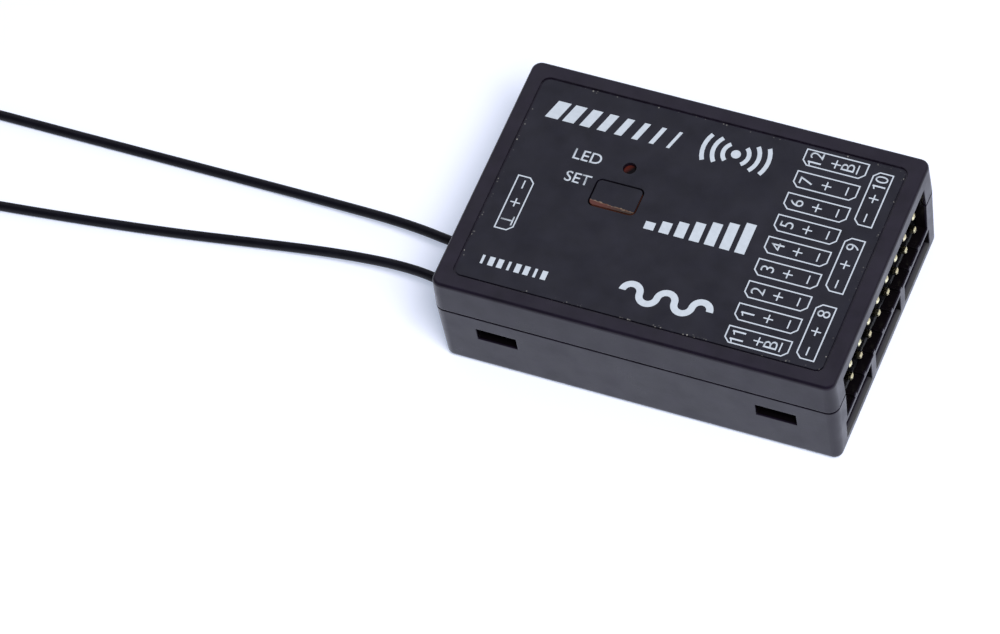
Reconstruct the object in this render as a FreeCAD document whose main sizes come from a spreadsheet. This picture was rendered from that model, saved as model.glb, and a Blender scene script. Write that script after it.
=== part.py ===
"""A twelve-channel rc receiver in a two-part snap case, with two antenna leads.

Millimetres. The origin is the middle of the case's underside, +X points to the end with the
servo sockets, +Y to the back of the case and +Z up through the label.
"""
import FreeCAD
import Part
import Sketcher
import math
import os
import re

Vector = FreeCAD.Vector
UP = Vector(0, 0, 1)
BAD_STATES = ("Invalid", "Error")

doc = FreeCAD.newDocument("Receiver")
sheet = doc.addObject("Spreadsheet::Sheet", "Sizes")
subparts = []


# Driving sizes, which the sheet keeps

SIZES = {
    # The case
    "case_length": 46.5,  # length over the two ends at the parting line
    "case_width": 31.4,  # width over the two sides at the parting line
    "case_height": 14.1,  # height from the underside to the top rim
    "parting_height": 9.45,  # height of the line between the two shells
    "draft_angle": 1.6,  # draft of every outer wall, in degrees
    "corner_radius": 1.25,  # radius of the upright corners at the parting line
    "wall": 1.3,  # thickness of the side walls
    "floor_thickness": 1.2,  # thickness of the floor
    "top_thickness": 1.4,  # thickness of the top
    "bottom_round": 0.8,  # radius of the edge round the underside
    "top_round": 0.4,  # radius of the edge round the top
    "inner_radius": 0.5,  # radius of the upright corners inside
    "seam_gap": 0.27,  # open line between the two rims
    "tongue_height": 0.6,  # height of the tongue above the parting line
    "tongue_wall": 0.65,  # thickness of the tongue
    "tongue_gap": 0.06,  # clearance beside the tongue

    # The label and its recess
    "label_border": 2.15,  # distance from the outside of the case to the foil
    "label_radius": 0.8,  # corner radius of the foil
    "label_thickness": 0.15,  # thickness of the foil
    "label_gap": 0.22,  # open line round the foil
    "recess_depth": 0.2,  # depth of the recess that the foil lies in

    # The snap latches on the two long sides
    "latch_inset": 7.1,  # distance from an end of the case to the middle of its latch window
    "latch_width": 4.7,  # width of a latch window
    "latch_height": 2.0,  # height of a latch window
    "latch_level": 6.3,  # height of the middle of a latch window
    "latch_play": 0.2,  # clearance beside and under an arm
    "arm_thickness": 0.9,  # thickness of a latch arm
    "arm_gap": 0.12,  # clearance between an arm and the wall
    "hook_reach": 0.75,  # how far a hook reaches into its window
    "hook_play": 0.1,  # clearance above a hook

    # The circuit board and what it stands on
    "board_thickness": 0.8,  # thickness of the board
    "board_level": 4.2,  # height of the board's underside
    "board_gap": 0.25,  # clearance round the board
    "post_radius": 1.3,  # radius of the posts under and over the board
    "post_left": 12.0,  # distance of two posts from the antenna end
    "post_right": 17.6,  # distance of two posts from the servo end
    "post_side": 3.3,  # distance of the posts from the outside of the long sides
    "peg_radius": 0.55,  # radius of the peg on a lower post
    "peg_height": 0.6,  # height of the peg above the board
    "peg_play": 0.12,  # clearance round the peg
    "press_gap": 0.05,  # clearance between the upper posts and the board
    "ledge_reach": 1.4,  # length of the ledges at the antenna end
    "ledge_width": 2.2,  # width of the ledges at the antenna end
    "ledge_side": 3.9,  # distance of the ledges from the outside of the long sides

    # The pin headers and the windows for their plugs
    "pin_size": 0.64,  # side of the square pins
    "pin_chamfer": 0.16,  # chamfer at the tip of a pin
    "pin_setback": 0.9,  # distance of the tips behind the face of the case
    "pin_reach": 6.2,  # free length of a pin in front of its block
    "pin_bend": 0.3,  # bevel outside the bend of a pin
    "block_depth": 2.54,  # depth of a header block
    "block_chamfer": 0.35,  # chamfer along the edges of a header block
    "block_lift": 0.46,  # clearance between the lower blocks and the floor
    "tail_gap": 1.3,  # distance from a block to the first row of tails
    "tail_stub": 0.7,  # length of the tails behind the board
    "tail_play": 0.12,  # clearance round a tail in the board
    "column_count": 9,  # columns of the servo sockets
    "row_count": 3,  # rows of the servo sockets
    "header_side": 3.03,  # distance from the outside of the case to the servo header's block
    "header_gap": 0.08,  # clearance between the servo header's block and the top
    "window_side": 2.95,  # distance from the outside of the case to the servo window
    "window_lintel": 1.7,  # distance from the top rim to the servo window
    "plug_height": 3.0,  # height of a window for one plug
    "plug_play": 0.28,  # clearance of a plug in the width of its window
    "plug_pins": 3,  # pins of one plug
    "socket_count": 3,  # lower sockets
    "socket_side": 2.55,  # distance from the outside of the case to the outer lower sockets
    "socket_rib": 1.3,  # wall between two lower sockets
    "nub_width": 0.5,  # width of the nubs between the columns
    "nub_height": 0.4,  # height of the nubs between the columns
    "telemetry_place": -3.05,  # place along Y of the telemetry socket

    # The button, its switch and the light pipe
    "button_length": 5.2,  # length of the button
    "button_width": 3.3,  # width of the button
    "button_radius": 0.5,  # corner radius of the button
    "button_gap": 0.2,  # open line round the button
    "button_x": 15.4,  # distance of the button's middle from the antenna end
    "button_y": 0.95,  # place along Y of the button
    "flange_reach": 0.6,  # how far the flange reaches under the top
    "flange_thickness": 0.7,  # thickness of the flange
    "flange_gap": 0.06,  # clearance over the flange at rest
    "collar_height": 1.3,  # height of the collar round the flange
    "collar_wall": 0.6,  # thickness of the collar
    "rib_thickness": 0.8,  # thickness of the ribs of the button's stem
    "switch_length": 6.0,  # length of the switch
    "switch_width": 3.5,  # width of the switch
    "switch_height": 3.5,  # height of the switch body
    "switch_sheet": 0.2,  # thickness of the switch's sheet cover
    "switch_ear": 2.8,  # length of the ears of the switch's cover
    "plunger_length": 2.4,  # length of the plunger
    "plunger_width": 1.4,  # width of the plunger
    "plunger_rise": 0.8,  # how far the plunger stands above the cover
    "plunger_depth": 1.1,  # how far the plunger reaches into the body
    "plunger_play": 0.12,  # clearance round the plunger
    "button_travel": 0.3,  # travel of the button
    "light_x": 15.45,  # distance of the light pipe from the antenna end
    "light_y": 4.95,  # place along Y of the light pipe
    "light_radius": 0.75,  # radius of the hole for the light pipe
    "light_play": 0.04,  # clearance round the light pipe
    "light_sink": 0.45,  # depth of the light pipe's tip under the foil
    "light_foot_radius": 1.1,  # radius of the light pipe's foot
    "light_foot_height": 0.8,  # height of the light pipe's foot
    "light_gap": 0.2,  # gap between the light pipe and the lamp

    # Parts on the board
    "lamp_length": 1.6,  # length of the status lamp
    "lamp_width": 0.9,  # width of the status lamp
    "lamp_height": 0.7,  # height of the status lamp
    "controller_side": 5.0,  # side of the microcontroller
    "controller_height": 1.0,  # height of the microcontroller's body
    "controller_x": 16.5,  # distance of the microcontroller from the antenna end
    "controller_y": 8.6,  # distance of the microcontroller from the back of the case
    "leg_pitch": 0.5,  # distance between the legs
    "leg_count": 8,  # legs on one side
    "leg_width": 0.22,  # width of a leg
    "leg_thickness": 0.14,  # thickness of a leg
    "leg_reach": 0.8,  # how far a leg stands out
    "crystal_length": 3.2,  # length of the crystal
    "crystal_width": 2.5,  # width of the crystal
    "crystal_height": 0.8,  # height of the crystal
    "crystal_gap": 0.7,  # clearance between the crystal and the microcontroller's legs
    "crystal_y": 10.5,  # distance of the crystal from the back of the case
    "regulator_length": 6.0,  # length of the voltage regulator
    "regulator_width": 3.5,  # width of the regulator's body
    "regulator_height": 1.6,  # height of the regulator's body
    "regulator_tab": 3.0,  # width of the regulator's cooling tab
    "regulator_leg": 0.75,  # width of the regulator's legs
    "regulator_pitch": 2.3,  # distance between the regulator's legs
    "regulator_reach": 0.85,  # how far the tab and the legs stand out
    "regulator_y": 6.6,  # distance of the regulator from the front of the case
    "bulk_length": 3.5,  # length of a bulk capacitor
    "bulk_width": 2.8,  # width of a bulk capacitor
    "bulk_height": 1.9,  # height of a bulk capacitor
    "bulk_gap": 0.76,  # clearance between the bulk capacitors and the servo tails
    "bulk_front": -4.0,  # place along Y of the front bulk capacitor
    "bulk_back": 4.6,  # place along Y of the back bulk capacitor
    "chip_length": 1.6,  # length of a ceramic capacitor or a resistor
    "chip_width": 0.8,  # width and height of a ceramic capacitor, width of a resistor
    "resistor_height": 0.45,  # height of a resistor
    "ceramic_x": 12.2,  # distance of the first ceramic capacitors from the antenna end
    "ceramic_y": -4.0,  # place along Y of the first ceramic capacitors
    "ceramic_step": 2.2,  # distance between the two columns of ceramic capacitors
    "ceramic_row": 1.2,  # distance between the rows of ceramic capacitors
    "resistor_x": 5.8,  # distance of the first resistors from the antenna end
    "resistor_y": 5.6,  # place along Y of the first resistors
    "resistor_step": 3.0,  # distance between the two columns of resistors
    "resistor_row": 1.6,  # distance between the rows of resistors
    "can_length": 9.4,  # length of the radio's shield
    "can_width": 7.2,  # width of the radio's shield
    "can_height": 1.9,  # height of the radio's shield
    "can_sheet": 0.2,  # thickness of the shield's sheet
    "can_x": 17.1,  # distance of the shield's middle from the antenna end
    "can_y": 10.1,  # distance of the shield's middle from the front of the case
    "radio_side": 4.0,  # side of the radio chip
    "radio_height": 0.85,  # height of the radio chip
    "amplifier_side": 2.4,  # side of an amplifier
    "amplifier_height": 0.75,  # height of an amplifier
    "shielded_gap": 0.3,  # clearance between the shield and the chips inside it

    # The antenna leads and their connectors
    "lead_diameter": 1.13,  # diameter of an antenna lead
    "lead_hole_gap": 0.14,  # clearance round a lead in the wall
    "lead_level": 3.0,  # height of the leads in the wall
    "lead_first_y": -3.4,  # place along Y where the first lead leaves
    "lead_second_y": -8.55,  # place along Y where the second lead leaves
    "coax_x": 7.8,  # distance of the two coax sockets from the antenna end
    "coax_base": 2.6,  # side of a coax socket
    "coax_sheet": 0.35,  # thickness of a coax socket's base
    "coax_radius": 1.0,  # radius of a coax socket's barrel
    "coax_height": 0.9,  # height of a coax socket's barrel
    "cap_radius": 1.45,  # radius of a coax plug
    "cap_height": 1.3,  # height of a coax plug
    "cap_gap": 0.1,  # clearance between a coax plug and its socket
    "crimp_radius": 0.72,  # radius of a coax plug's crimp
    "crimp_reach": 3.4,  # distance from a coax plug's middle to its crimp's end
    "coil_radius": 5.7,  # radius at the middle of a coil's turns
    "coil_stub": 4.1,  # length of the straight piece where a lead enters its coil
}

for row, (alias, amount) in enumerate(SIZES.items(), start=1):
    sheet.set(f"A{row}", alias)
    sheet.set(f"B{row}", str(amount))
    sheet.setAlias(f"B{row}", alias)
doc.recompute()


# Tools for building


def bound(expression):
    """Return the expression with every driving size read from the sheet."""
    return re.sub(r"[a-z_]+", lambda word: with_sheet(word.group(0)), expression)


def with_sheet(word):
    """Return a word of an expression, with the sheet's name before a driving size."""
    return f"Sizes.{word}" if word in SIZES else word


def bind(item, **expressions):
    """Tie properties of an object to expressions of driving sizes."""
    for name, expression in expressions.items():
        item.setExpression(name, bound(expression))


def number(alias):
    """Return a driving size as a plain number."""
    return float(sheet.get(alias))


def place(item, x="0", y="0", z="0", path="Placement"):
    """Tie the base of an object's placement to three expressions."""
    for axis, expression in zip("xyz", (x, y, z)):
        item.setExpression(f"{path}.Base.{axis}", bound(expression))


def finish(item, label):
    """Name a finished sub-part and list it for writing."""
    item.Label = label
    subparts.append(item)
    return item


def new_body(name):
    """Return an empty body."""
    return doc.addObject("PartDesign::Body", name)


def origin_plane(body, role):
    """Return one of a body's own origin planes or axes."""
    return next(feature for feature in body.Origin.OriginFeatures if feature.Role == role)


def sketch_on(body, name, role, x="0", y="0", z="0"):
    """Return a sketch on an origin plane, moved in the plane by x and y and along its normal by z."""
    sketch = body.newObject("Sketcher::SketchObject", f"{body.Name}{name}")
    sketch.AttachmentSupport = (origin_plane(body, role), [""])
    sketch.MapMode = "FlatFace"
    place(sketch, x, y, z, path="AttachmentOffset")
    return sketch


def tie(sketch, expression, *constraint):
    """Add a dimension to a sketch and tie it to an expression."""
    index = sketch.addConstraint(Sketcher.Constraint(*constraint))
    sketch.setExpression(f"Constraints[{index}]", bound(expression))


def rounded_rectangle(sketch, length, width, radius):
    """Draw a rectangle with round corners about the sketch's origin."""
    half_length = 10.0
    half_width = 6.0
    corner = 1.0
    left = corner - half_length
    right = half_length - corner
    low = corner - half_width
    high = half_width - corner
    quarter = math.pi / 2
    sketch.addGeometry(Part.LineSegment(Vector(left, -half_width, 0), Vector(right, -half_width, 0)))
    sketch.addGeometry(Part.ArcOfCircle(Part.Circle(Vector(right, low, 0), UP, corner), -quarter, 0))
    sketch.addGeometry(Part.LineSegment(Vector(half_length, low, 0), Vector(half_length, high, 0)))
    sketch.addGeometry(Part.ArcOfCircle(Part.Circle(Vector(right, high, 0), UP, corner), 0, quarter))
    sketch.addGeometry(Part.LineSegment(Vector(right, half_width, 0), Vector(left, half_width, 0)))
    sketch.addGeometry(Part.ArcOfCircle(Part.Circle(Vector(left, high, 0), UP, corner), quarter, math.pi))
    sketch.addGeometry(Part.LineSegment(Vector(-half_length, high, 0), Vector(-half_length, low, 0)))
    sketch.addGeometry(Part.ArcOfCircle(Part.Circle(Vector(left, low, 0), UP, corner), math.pi, 3 * quarter))
    for index in range(8):
        sketch.addConstraint(Sketcher.Constraint("Tangent", index, 2, (index + 1) % 8, 1))
    for index in (0, 4):
        sketch.addConstraint(Sketcher.Constraint("Horizontal", index))
    for index in (2, 6):
        sketch.addConstraint(Sketcher.Constraint("Vertical", index))
    for index in (3, 5, 7):
        sketch.addConstraint(Sketcher.Constraint("Equal", 1, index))
    sketch.addConstraint(Sketcher.Constraint("Symmetric", 1, 3, 5, 3, -1, 1))
    tie(sketch, f"({length}) - 2 * ({radius})", "DistanceX", 5, 3, 1, 3, right - left)
    tie(sketch, f"({width}) - 2 * ({radius})", "DistanceY", 1, 3, 5, 3, high - low)
    tie(sketch, radius, "Radius", 1, corner)
    return sketch


def rectangle(sketch, length, width, x="0", y="0"):
    """Draw a rectangle with sharp corners about a place tied to expressions."""
    return polygon(sketch, (
        (f"{x} - ({length}) / 2", f"{y} - ({width}) / 2"),
        (f"{x} + ({length}) / 2", f"{y} - ({width}) / 2"),
        (f"{x} + ({length}) / 2", f"{y} + ({width}) / 2"),
        (f"{x} - ({length}) / 2", f"{y} + ({width}) / 2")))


def polygon(sketch, corners):
    """Draw a closed outline whose corners are tied to pairs of expressions."""
    count = len(corners)
    start = sketch.GeometryCount
    turn = 2 * math.pi / count
    ring = [Vector(math.cos(turn * index), math.sin(turn * index), 0) for index in range(count)]
    for index in range(count):
        sketch.addGeometry(Part.LineSegment(ring[index], ring[(index + 1) % count]))
    for index in range(count):
        following = start + (index + 1) % count
        sketch.addConstraint(Sketcher.Constraint("Coincident", start + index, 2, following, 1))
    for index, (across, along) in enumerate(corners):
        tie(sketch, across, "DistanceX", -1, 1, start + index, 1, ring[index].x)
        tie(sketch, along, "DistanceY", -1, 1, start + index, 1, ring[index].y)
    return sketch


def circle(sketch, radius, x="0", y="0"):
    """Draw a circle at a place tied to expressions."""
    index = sketch.addGeometry(Part.Circle(Vector(1, 1, 0), UP, 1))
    tie(sketch, radius, "Radius", index, 1)
    tie(sketch, x, "DistanceX", -1, 1, index, 3, 1)
    tie(sketch, y, "DistanceY", -1, 1, index, 3, 1)
    return sketch


def swept(kind, sketch, length, down=False, symmetric=False, taper=None):
    """Pad or pocket a sketch by a length tied to an expression."""
    body = sketch.getParentGeoFeatureGroup()
    feature = body.newObject(f"PartDesign::{kind}", f"{sketch.Name}{kind}")
    feature.Profile = sketch
    feature.Reversed = down
    if symmetric:
        feature.SideType = "Symmetric"
    bind(feature, Length=length)
    if taper:
        bind(feature, TaperAngle=taper)
    sketch.Visibility = False
    return feature


def pad(sketch, length, **options):
    """Add the prism of a sketch to its body."""
    return swept("Pad", sketch, length, **options)


def pocket(sketch, length, **options):
    """Cut the prism of a sketch out of its body, against the sketch's normal unless turned."""
    return swept("Pocket", sketch, length, **options)


def edges_where(feature, test):
    """Return the names of the edges of a feature whose box passes a test."""
    doc.recompute()
    edges = enumerate(feature.Shape.Edges)
    return [f"Edge{index + 1}" for index, edge in edges if test(edge.BoundBox)]


def dress(kind, feature, names, amount):
    """Fillet or chamfer named edges of a feature by an amount tied to an expression."""
    body = feature.getParentGeoFeatureGroup()
    dressed = body.newObject(f"PartDesign::{kind}", f"{feature.Name}{kind}")
    dressed.Base = (feature, names)
    bind(dressed, **{"Radius" if kind == "Fillet" else "Size": amount})
    return dressed


def flat_at(level):
    """Return a test for edges that lie flat at a height."""
    return lambda box: abs(box.ZMin - level) < 0.01 and abs(box.ZMax - level) < 0.01


def repeat(feature, count, spacing, whole=False):
    """Repeat a feature, or the whole body up to it, along Y."""
    body = feature.getParentGeoFeatureGroup()
    doc.recompute()
    row = body.newObject("PartDesign::LinearPattern", f"{feature.Name}Row")
    if whole:
        row.TransformMode = "Whole shape"
    else:
        row.Originals = [feature]
    row.Direction = (origin_plane(body, "Y_Axis"), [""])
    row.Mode = "Spacing"
    bind(row, Offset=spacing, Occurrences=count)
    body.Tip = row
    return row


def block(name, length, width, height, x="0", y="0", z="0"):
    """Return a box that stands on z with its middle at x and y."""
    solid = doc.addObject("Part::Box", name)
    bind(solid, Length=length, Width=width, Height=height)
    place(solid, f"({x}) - ({length}) / 2", f"({y}) - ({width}) / 2", z)
    return solid


def rod(name, radius, height, x="0", y="0", z="0"):
    """Return an upright cylinder that stands on z."""
    solid = doc.addObject("Part::Cylinder", name)
    bind(solid, Radius=radius, Height=height)
    place(solid, x, y, z)
    return solid


def fused(name, *solids):
    """Return the union of solids."""
    union = doc.addObject("Part::MultiFuse", name)
    union.Shapes = list(solids)
    union.Refine = True
    return union


def cut(name, base, tool):
    """Return a solid less a tool."""
    rest = doc.addObject("Part::Cut", name)
    rest.Base = base
    rest.Tool = tool
    return rest


def grouped(name, solids):
    """Return separate solids as one group."""
    group = doc.addObject("Part::Compound", name)
    group.Links = solids
    return group


# Heights and places that several pieces share, as expressions

BOARD_TOP = "(board_level + board_thickness)"
ANTENNA_END = "(-1 * case_length / 2)"
BUTTON_X = f"({ANTENNA_END} + button_x)"
LIGHT_X = f"({ANTENNA_END} + light_x)"
CONTROLLER_X = f"({ANTENNA_END} + controller_x)"
CAN_X = f"({ANTENNA_END} + can_x)"
CAN_Y = "(can_y - case_width / 2)"
COAX_X = f"({ANTENNA_END} + coax_x)"
LATCH_X = "(case_length / 2 - latch_inset)"
LABEL_LENGTH = "(case_length - 2 * label_border)"
LABEL_WIDTH = "(case_width - 2 * label_border)"
SERVO_WINDOW = "(case_width - 2 * window_side)"
SERVO_WINDOW_TOP = "(case_height - window_lintel)"
PLUG_WIDTH = "((case_width - 2 * socket_side - (socket_count - 1) * socket_rib) / socket_count)"
SOCKET_PITCH = f"({PLUG_WIDTH} + socket_rib)"
PIN_PITCH = f"(({PLUG_WIDTH} - plug_play) / plug_pins)"
LOWER_PITCH = "(board_level - floor_thickness - block_lift)"
ROW_PITCH = f"((case_height - top_thickness - header_gap - {BOARD_TOP}) / row_count)"
COLUMN_PITCH = f"((case_width - 2 * header_side - {PIN_PITCH}) / (column_count - 1))"
TOP_UNDERSIDE = "(case_height - top_thickness)"
FOIL_TOP = "(case_height - recess_depth + label_thickness)"
LOW_RIM = "(parting_height - seam_gap / 2)"
HIGH_RIM = "(parting_height + seam_gap / 2)"
TONGUE_TOP = "(parting_height + tongue_height)"
PIN_TIP = "(case_length / 2 - pin_setback)"
BLOCK_FACE = "(case_length / 2 - pin_setback - pin_reach)"
BLOCK_BACK = "(case_length / 2 - pin_setback - pin_reach - block_depth)"
TAIL_X = "(case_length / 2 - pin_setback - pin_reach - block_depth - tail_gap)"
UPPER_PIN = f"({BOARD_TOP} + {ROW_PITCH} / 2)"
LOWER_PIN = f"(board_level - {LOWER_PITCH} / 2)"
INNER_LENGTH = "(case_length - 2 * wall)"
INNER_WIDTH = "(case_width - 2 * wall)"
LOWER_TAIL = f"({TAIL_X} - {PIN_PITCH} / 2)"
LAST_TAIL = f"({TAIL_X} - (row_count - 1) * {PIN_PITCH})"
TAIL_BOTTOM = "(board_level - tail_stub)"
PLUNGER_TOP = "(board_level + board_thickness + switch_height + switch_sheet + plunger_rise)"
CAP_TOP = "(case_height - recess_depth)"
SIDES = (-1, 1)


def lean(height):
    """Return how far a drafted wall stands in at a height below or above the parting line."""
    return f"(abs({height} - parting_height) * tan(draft_angle))"


# The two shells


def post_places():
    """Return the places of the four posts as pairs of expressions."""
    ends = (f"({ANTENNA_END} + post_left)", "(case_length / 2 - post_right)")
    return [(x, f"{side} * (case_width / 2 - post_side)") for x in ends for side in SIDES]


def lower_shell():
    """The tray: walls, floor, windows for the plugs and latches, posts and ledges."""
    body = new_body("LowerShell")
    rim = sketch_on(body, "Rim", "XY_Plane", z=LOW_RIM)
    rounded_rectangle(rim, "case_length", "case_width", "corner_radius")
    outside = pad(rim, LOW_RIM, down=True, taper="-draft_angle")
    underside = edges_where(outside, flat_at(0.0))
    dress("Fillet", outside, underside, "bottom_round")
    tongue_in = "2 * (wall - tongue_wall)"
    tongue = sketch_on(body, "Tongue", "XY_Plane", z=LOW_RIM)
    rounded_rectangle(tongue, f"case_length - {tongue_in}", f"case_width - {tongue_in}",
                      "inner_radius + tongue_wall")
    pad(tongue, f"{TONGUE_TOP} - {LOW_RIM}")
    cavity = sketch_on(body, "Cavity", "XY_Plane", z=TONGUE_TOP)
    rounded_rectangle(cavity, INNER_LENGTH, INNER_WIDTH, "inner_radius")
    pocket(cavity, f"{TONGUE_TOP} - floor_thickness", taper="-draft_angle")
    shell_posts(body)
    end_windows(body)
    latch_windows(body)
    return finish(body, "lower_shell")


def shell_posts(body):
    """Posts with pegs, ledges and ribs that carry the board."""
    rise = "board_level - floor_thickness"
    posts = sketch_on(body, "Posts", "XY_Plane", z="floor_thickness")
    pegs = sketch_on(body, "Pegs", "XY_Plane", z="board_level")
    for x, y in post_places():
        circle(posts, "post_radius", x, y)
        circle(pegs, "peg_radius", x, y)
    pad(posts, rise)
    pad(pegs, "board_thickness + peg_height")
    rests = sketch_on(body, "Rests", "XY_Plane", z="floor_thickness")
    ledge_length = "(ledge_reach + wall / 2)"
    ledge_x = f"wall / 2 - case_length / 2 + {ledge_length} / 2"
    rib_length = f"(case_length / 2 - wall / 2 - {BLOCK_FACE} - latch_play)"
    rib_x = f"case_length / 2 - wall / 2 - {rib_length} / 2"
    for side in SIDES:
        rectangle(rests, ledge_length, "ledge_width", ledge_x, f"{side} * (case_width / 2 - ledge_side)")
        rectangle(rests, rib_length, "socket_rib", rib_x, f"{side} * {SOCKET_PITCH} / 2")
    pad(rests, rise)


def end_windows(body):
    """Windows for the servo plugs, the three lower plugs, the telemetry plug and the two leads."""
    reach = "2 * wall"
    end = "case_length / 2 + wall / 2"
    servo = sketch_on(body, "ServoWindow", "YZ_Plane", z=end)
    rectangle(servo, SERVO_WINDOW, f"{TONGUE_TOP} - {BOARD_TOP} + wall", "0",
              f"({BOARD_TOP} + {TONGUE_TOP}) / 2 + wall / 2")
    pocket(servo, reach)
    lower = sketch_on(body, "LowerWindows", "YZ_Plane", z=end)
    rectangle(lower, PLUG_WIDTH, "plug_height", f"-(socket_count - 1) / 2 * {SOCKET_PITCH}", LOWER_PIN)
    repeat(pocket(lower, reach), "socket_count", SOCKET_PITCH)
    far = sketch_on(body, "FarHoles", "YZ_Plane", z=f"-({end})")
    rectangle(far, PLUG_WIDTH, "plug_height", "telemetry_place", UPPER_PIN)
    for y in ("lead_first_y", "lead_second_y"):
        circle(far, "lead_diameter / 2 + lead_hole_gap", y, "lead_level")
    pocket(far, reach, down=True)
    nub = sketch_on(body, "Nub", "XY_Plane", z=BOARD_TOP)
    rectangle(nub, "wall", "nub_width", f"case_length / 2 - wall / 2 - {lean(BOARD_TOP)}",
              f"-(column_count - 2) / 2 * {COLUMN_PITCH}")
    repeat(pad(nub, "nub_height"), "column_count - 1", COLUMN_PITCH)


def latch_windows(body):
    """Windows in the long sides that the hooks of the cover snap into."""
    for side, tag in ((-1, "Front"), (1, "Back")):
        face = f"-{side} * (case_width / 2 + wall / 2)"
        windows = sketch_on(body, f"Latch{tag}", "XZ_Plane", z=face)
        for sign in SIDES:
            rectangle(windows, "latch_width", "latch_height", f"{sign} * {LATCH_X}", "latch_level")
        pocket(windows, "2 * wall", down=side > 0)


def upper_shell():
    """The cover: top with the label's recess, rim, servo window, latch arms and posts."""
    body = new_body("UpperShell")
    rim = sketch_on(body, "Rim", "XY_Plane", z=HIGH_RIM)
    rounded_rectangle(rim, "case_length", "case_width", "corner_radius")
    outside = pad(rim, f"case_height - {HIGH_RIM}", taper="-draft_angle")
    top_edges = edges_where(outside, flat_at(number("case_height")))
    dress("Fillet", outside, top_edges, "top_round")
    recess = sketch_on(body, "Recess", "XY_Plane", z="case_height")
    rounded_rectangle(recess, f"{LABEL_LENGTH} + 2 * label_gap", f"{LABEL_WIDTH} + 2 * label_gap",
                      "label_radius + label_gap")
    pocket(recess, "recess_depth")
    cavity = sketch_on(body, "Cavity", "XY_Plane", z=HIGH_RIM)
    rounded_rectangle(cavity, INNER_LENGTH, INNER_WIDTH, "inner_radius")
    pocket(cavity, f"{TOP_UNDERSIDE} - {HIGH_RIM}", down=True, taper="-draft_angle")
    groove_in = "2 * (wall - tongue_wall - tongue_gap)"
    groove = sketch_on(body, "Groove", "XY_Plane", z=HIGH_RIM)
    rounded_rectangle(groove, f"case_length - {groove_in}", f"case_width - {groove_in}",
                      "inner_radius + tongue_wall + tongue_gap")
    pocket(groove, f"{TONGUE_TOP} - {HIGH_RIM}", down=True)
    window_middle = f"({SERVO_WINDOW_TOP} + parting_height) / 2 - wall / 2"
    window = sketch_on(body, "ServoWindow", "YZ_Plane", "0", window_middle, "case_length / 2 + wall / 2")
    pocket(rectangle(window, SERVO_WINDOW, f"{SERVO_WINDOW_TOP} - parting_height + wall"), "2 * wall")
    cover_posts(body)
    cover_collar(body)
    for sign in SIDES:
        latch_arms(body, sign)
    return finish(body, "upper_shell")


def cover_posts(body):
    """Hollow posts that press the board onto the posts of the tray."""
    foot = f"({BOARD_TOP} + press_gap)"
    posts = sketch_on(body, "Posts", "XY_Plane", z=foot)
    bores = sketch_on(body, "Bores", "XY_Plane", z=foot)
    for x, y in post_places():
        circle(posts, "post_radius", x, y)
        circle(bores, "peg_radius + peg_play", x, y)
    pad(posts, f"{TOP_UNDERSIDE} - {foot}")
    pocket(bores, "2 * peg_height", down=True)


def cover_collar(body):
    """The collar that guides the button, with the holes for the button and the light pipe."""
    collar_low = f"({TOP_UNDERSIDE} - collar_height)"
    around = "2 * (flange_reach + button_gap + collar_wall)"
    collar = sketch_on(body, "Collar", "XY_Plane", BUTTON_X, "button_y", collar_low)
    rounded_rectangle(collar, f"button_length + {around}", f"button_width + {around}",
                      "button_radius + collar_wall")
    pad(collar, "collar_height")
    inside = "2 * (flange_reach + button_gap)"
    guide = sketch_on(body, "Guide", "XY_Plane", BUTTON_X, "button_y", collar_low)
    rounded_rectangle(guide, f"button_length + {inside}", f"button_width + {inside}", "button_radius")
    pocket(guide, "collar_height", down=True)
    opening = sketch_on(body, "ButtonHole", "XY_Plane", BUTTON_X, "button_y", "case_height")
    rounded_rectangle(opening, "button_length + 2 * button_gap", "button_width + 2 * button_gap",
                      "button_radius + button_gap")
    pocket(opening, "2 * top_thickness")
    light = sketch_on(body, "LightHole", "XY_Plane", z="case_height")
    circle(light, "light_radius", LIGHT_X, "light_y")
    pocket(light, "2 * top_thickness")


def latch_arms(body, end):
    """Two springy arms that hang from the cover inside the long sides, each with a hook at its foot."""
    window_low = "(latch_level - latch_height / 2)"
    wall_inside = f"(case_width / 2 - wall - {lean(window_low)})"
    outer = f"({wall_inside} - arm_gap)"
    inner = f"({outer} - arm_thickness)"
    foot = f"({BOARD_TOP} + latch_play)"
    catch = "(latch_level + latch_height / 2 - hook_play)"
    root = f"({TONGUE_TOP} + latch_play)"
    root_side = "(case_width / 2 - wall / 2)"
    root_top = f"({TOP_UNDERSIDE} + top_thickness / 4)"
    tag = "Right" if end > 0 else "Left"
    profiles = sketch_on(body, f"Arms{tag}", "YZ_Plane", z=f"{end} * {LATCH_X}")
    for side in SIDES:
        polygon(profiles, (
            (f"{side} * {inner}", foot), (f"{side} * {outer}", foot),
            (f"{side} * ({outer} + hook_reach)", f"{catch} - arm_thickness / 2"),
            (f"{side} * ({outer} + hook_reach)", catch), (f"{side} * {outer}", catch),
            (f"{side} * {outer}", root), (f"{side} * {root_side}", root),
            (f"{side} * {root_side}", root_top), (f"{side} * {inner}", root_top)))
    pad(profiles, "latch_width - 2 * latch_play", symmetric=True)


# The label, the button and the light pipe


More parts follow.
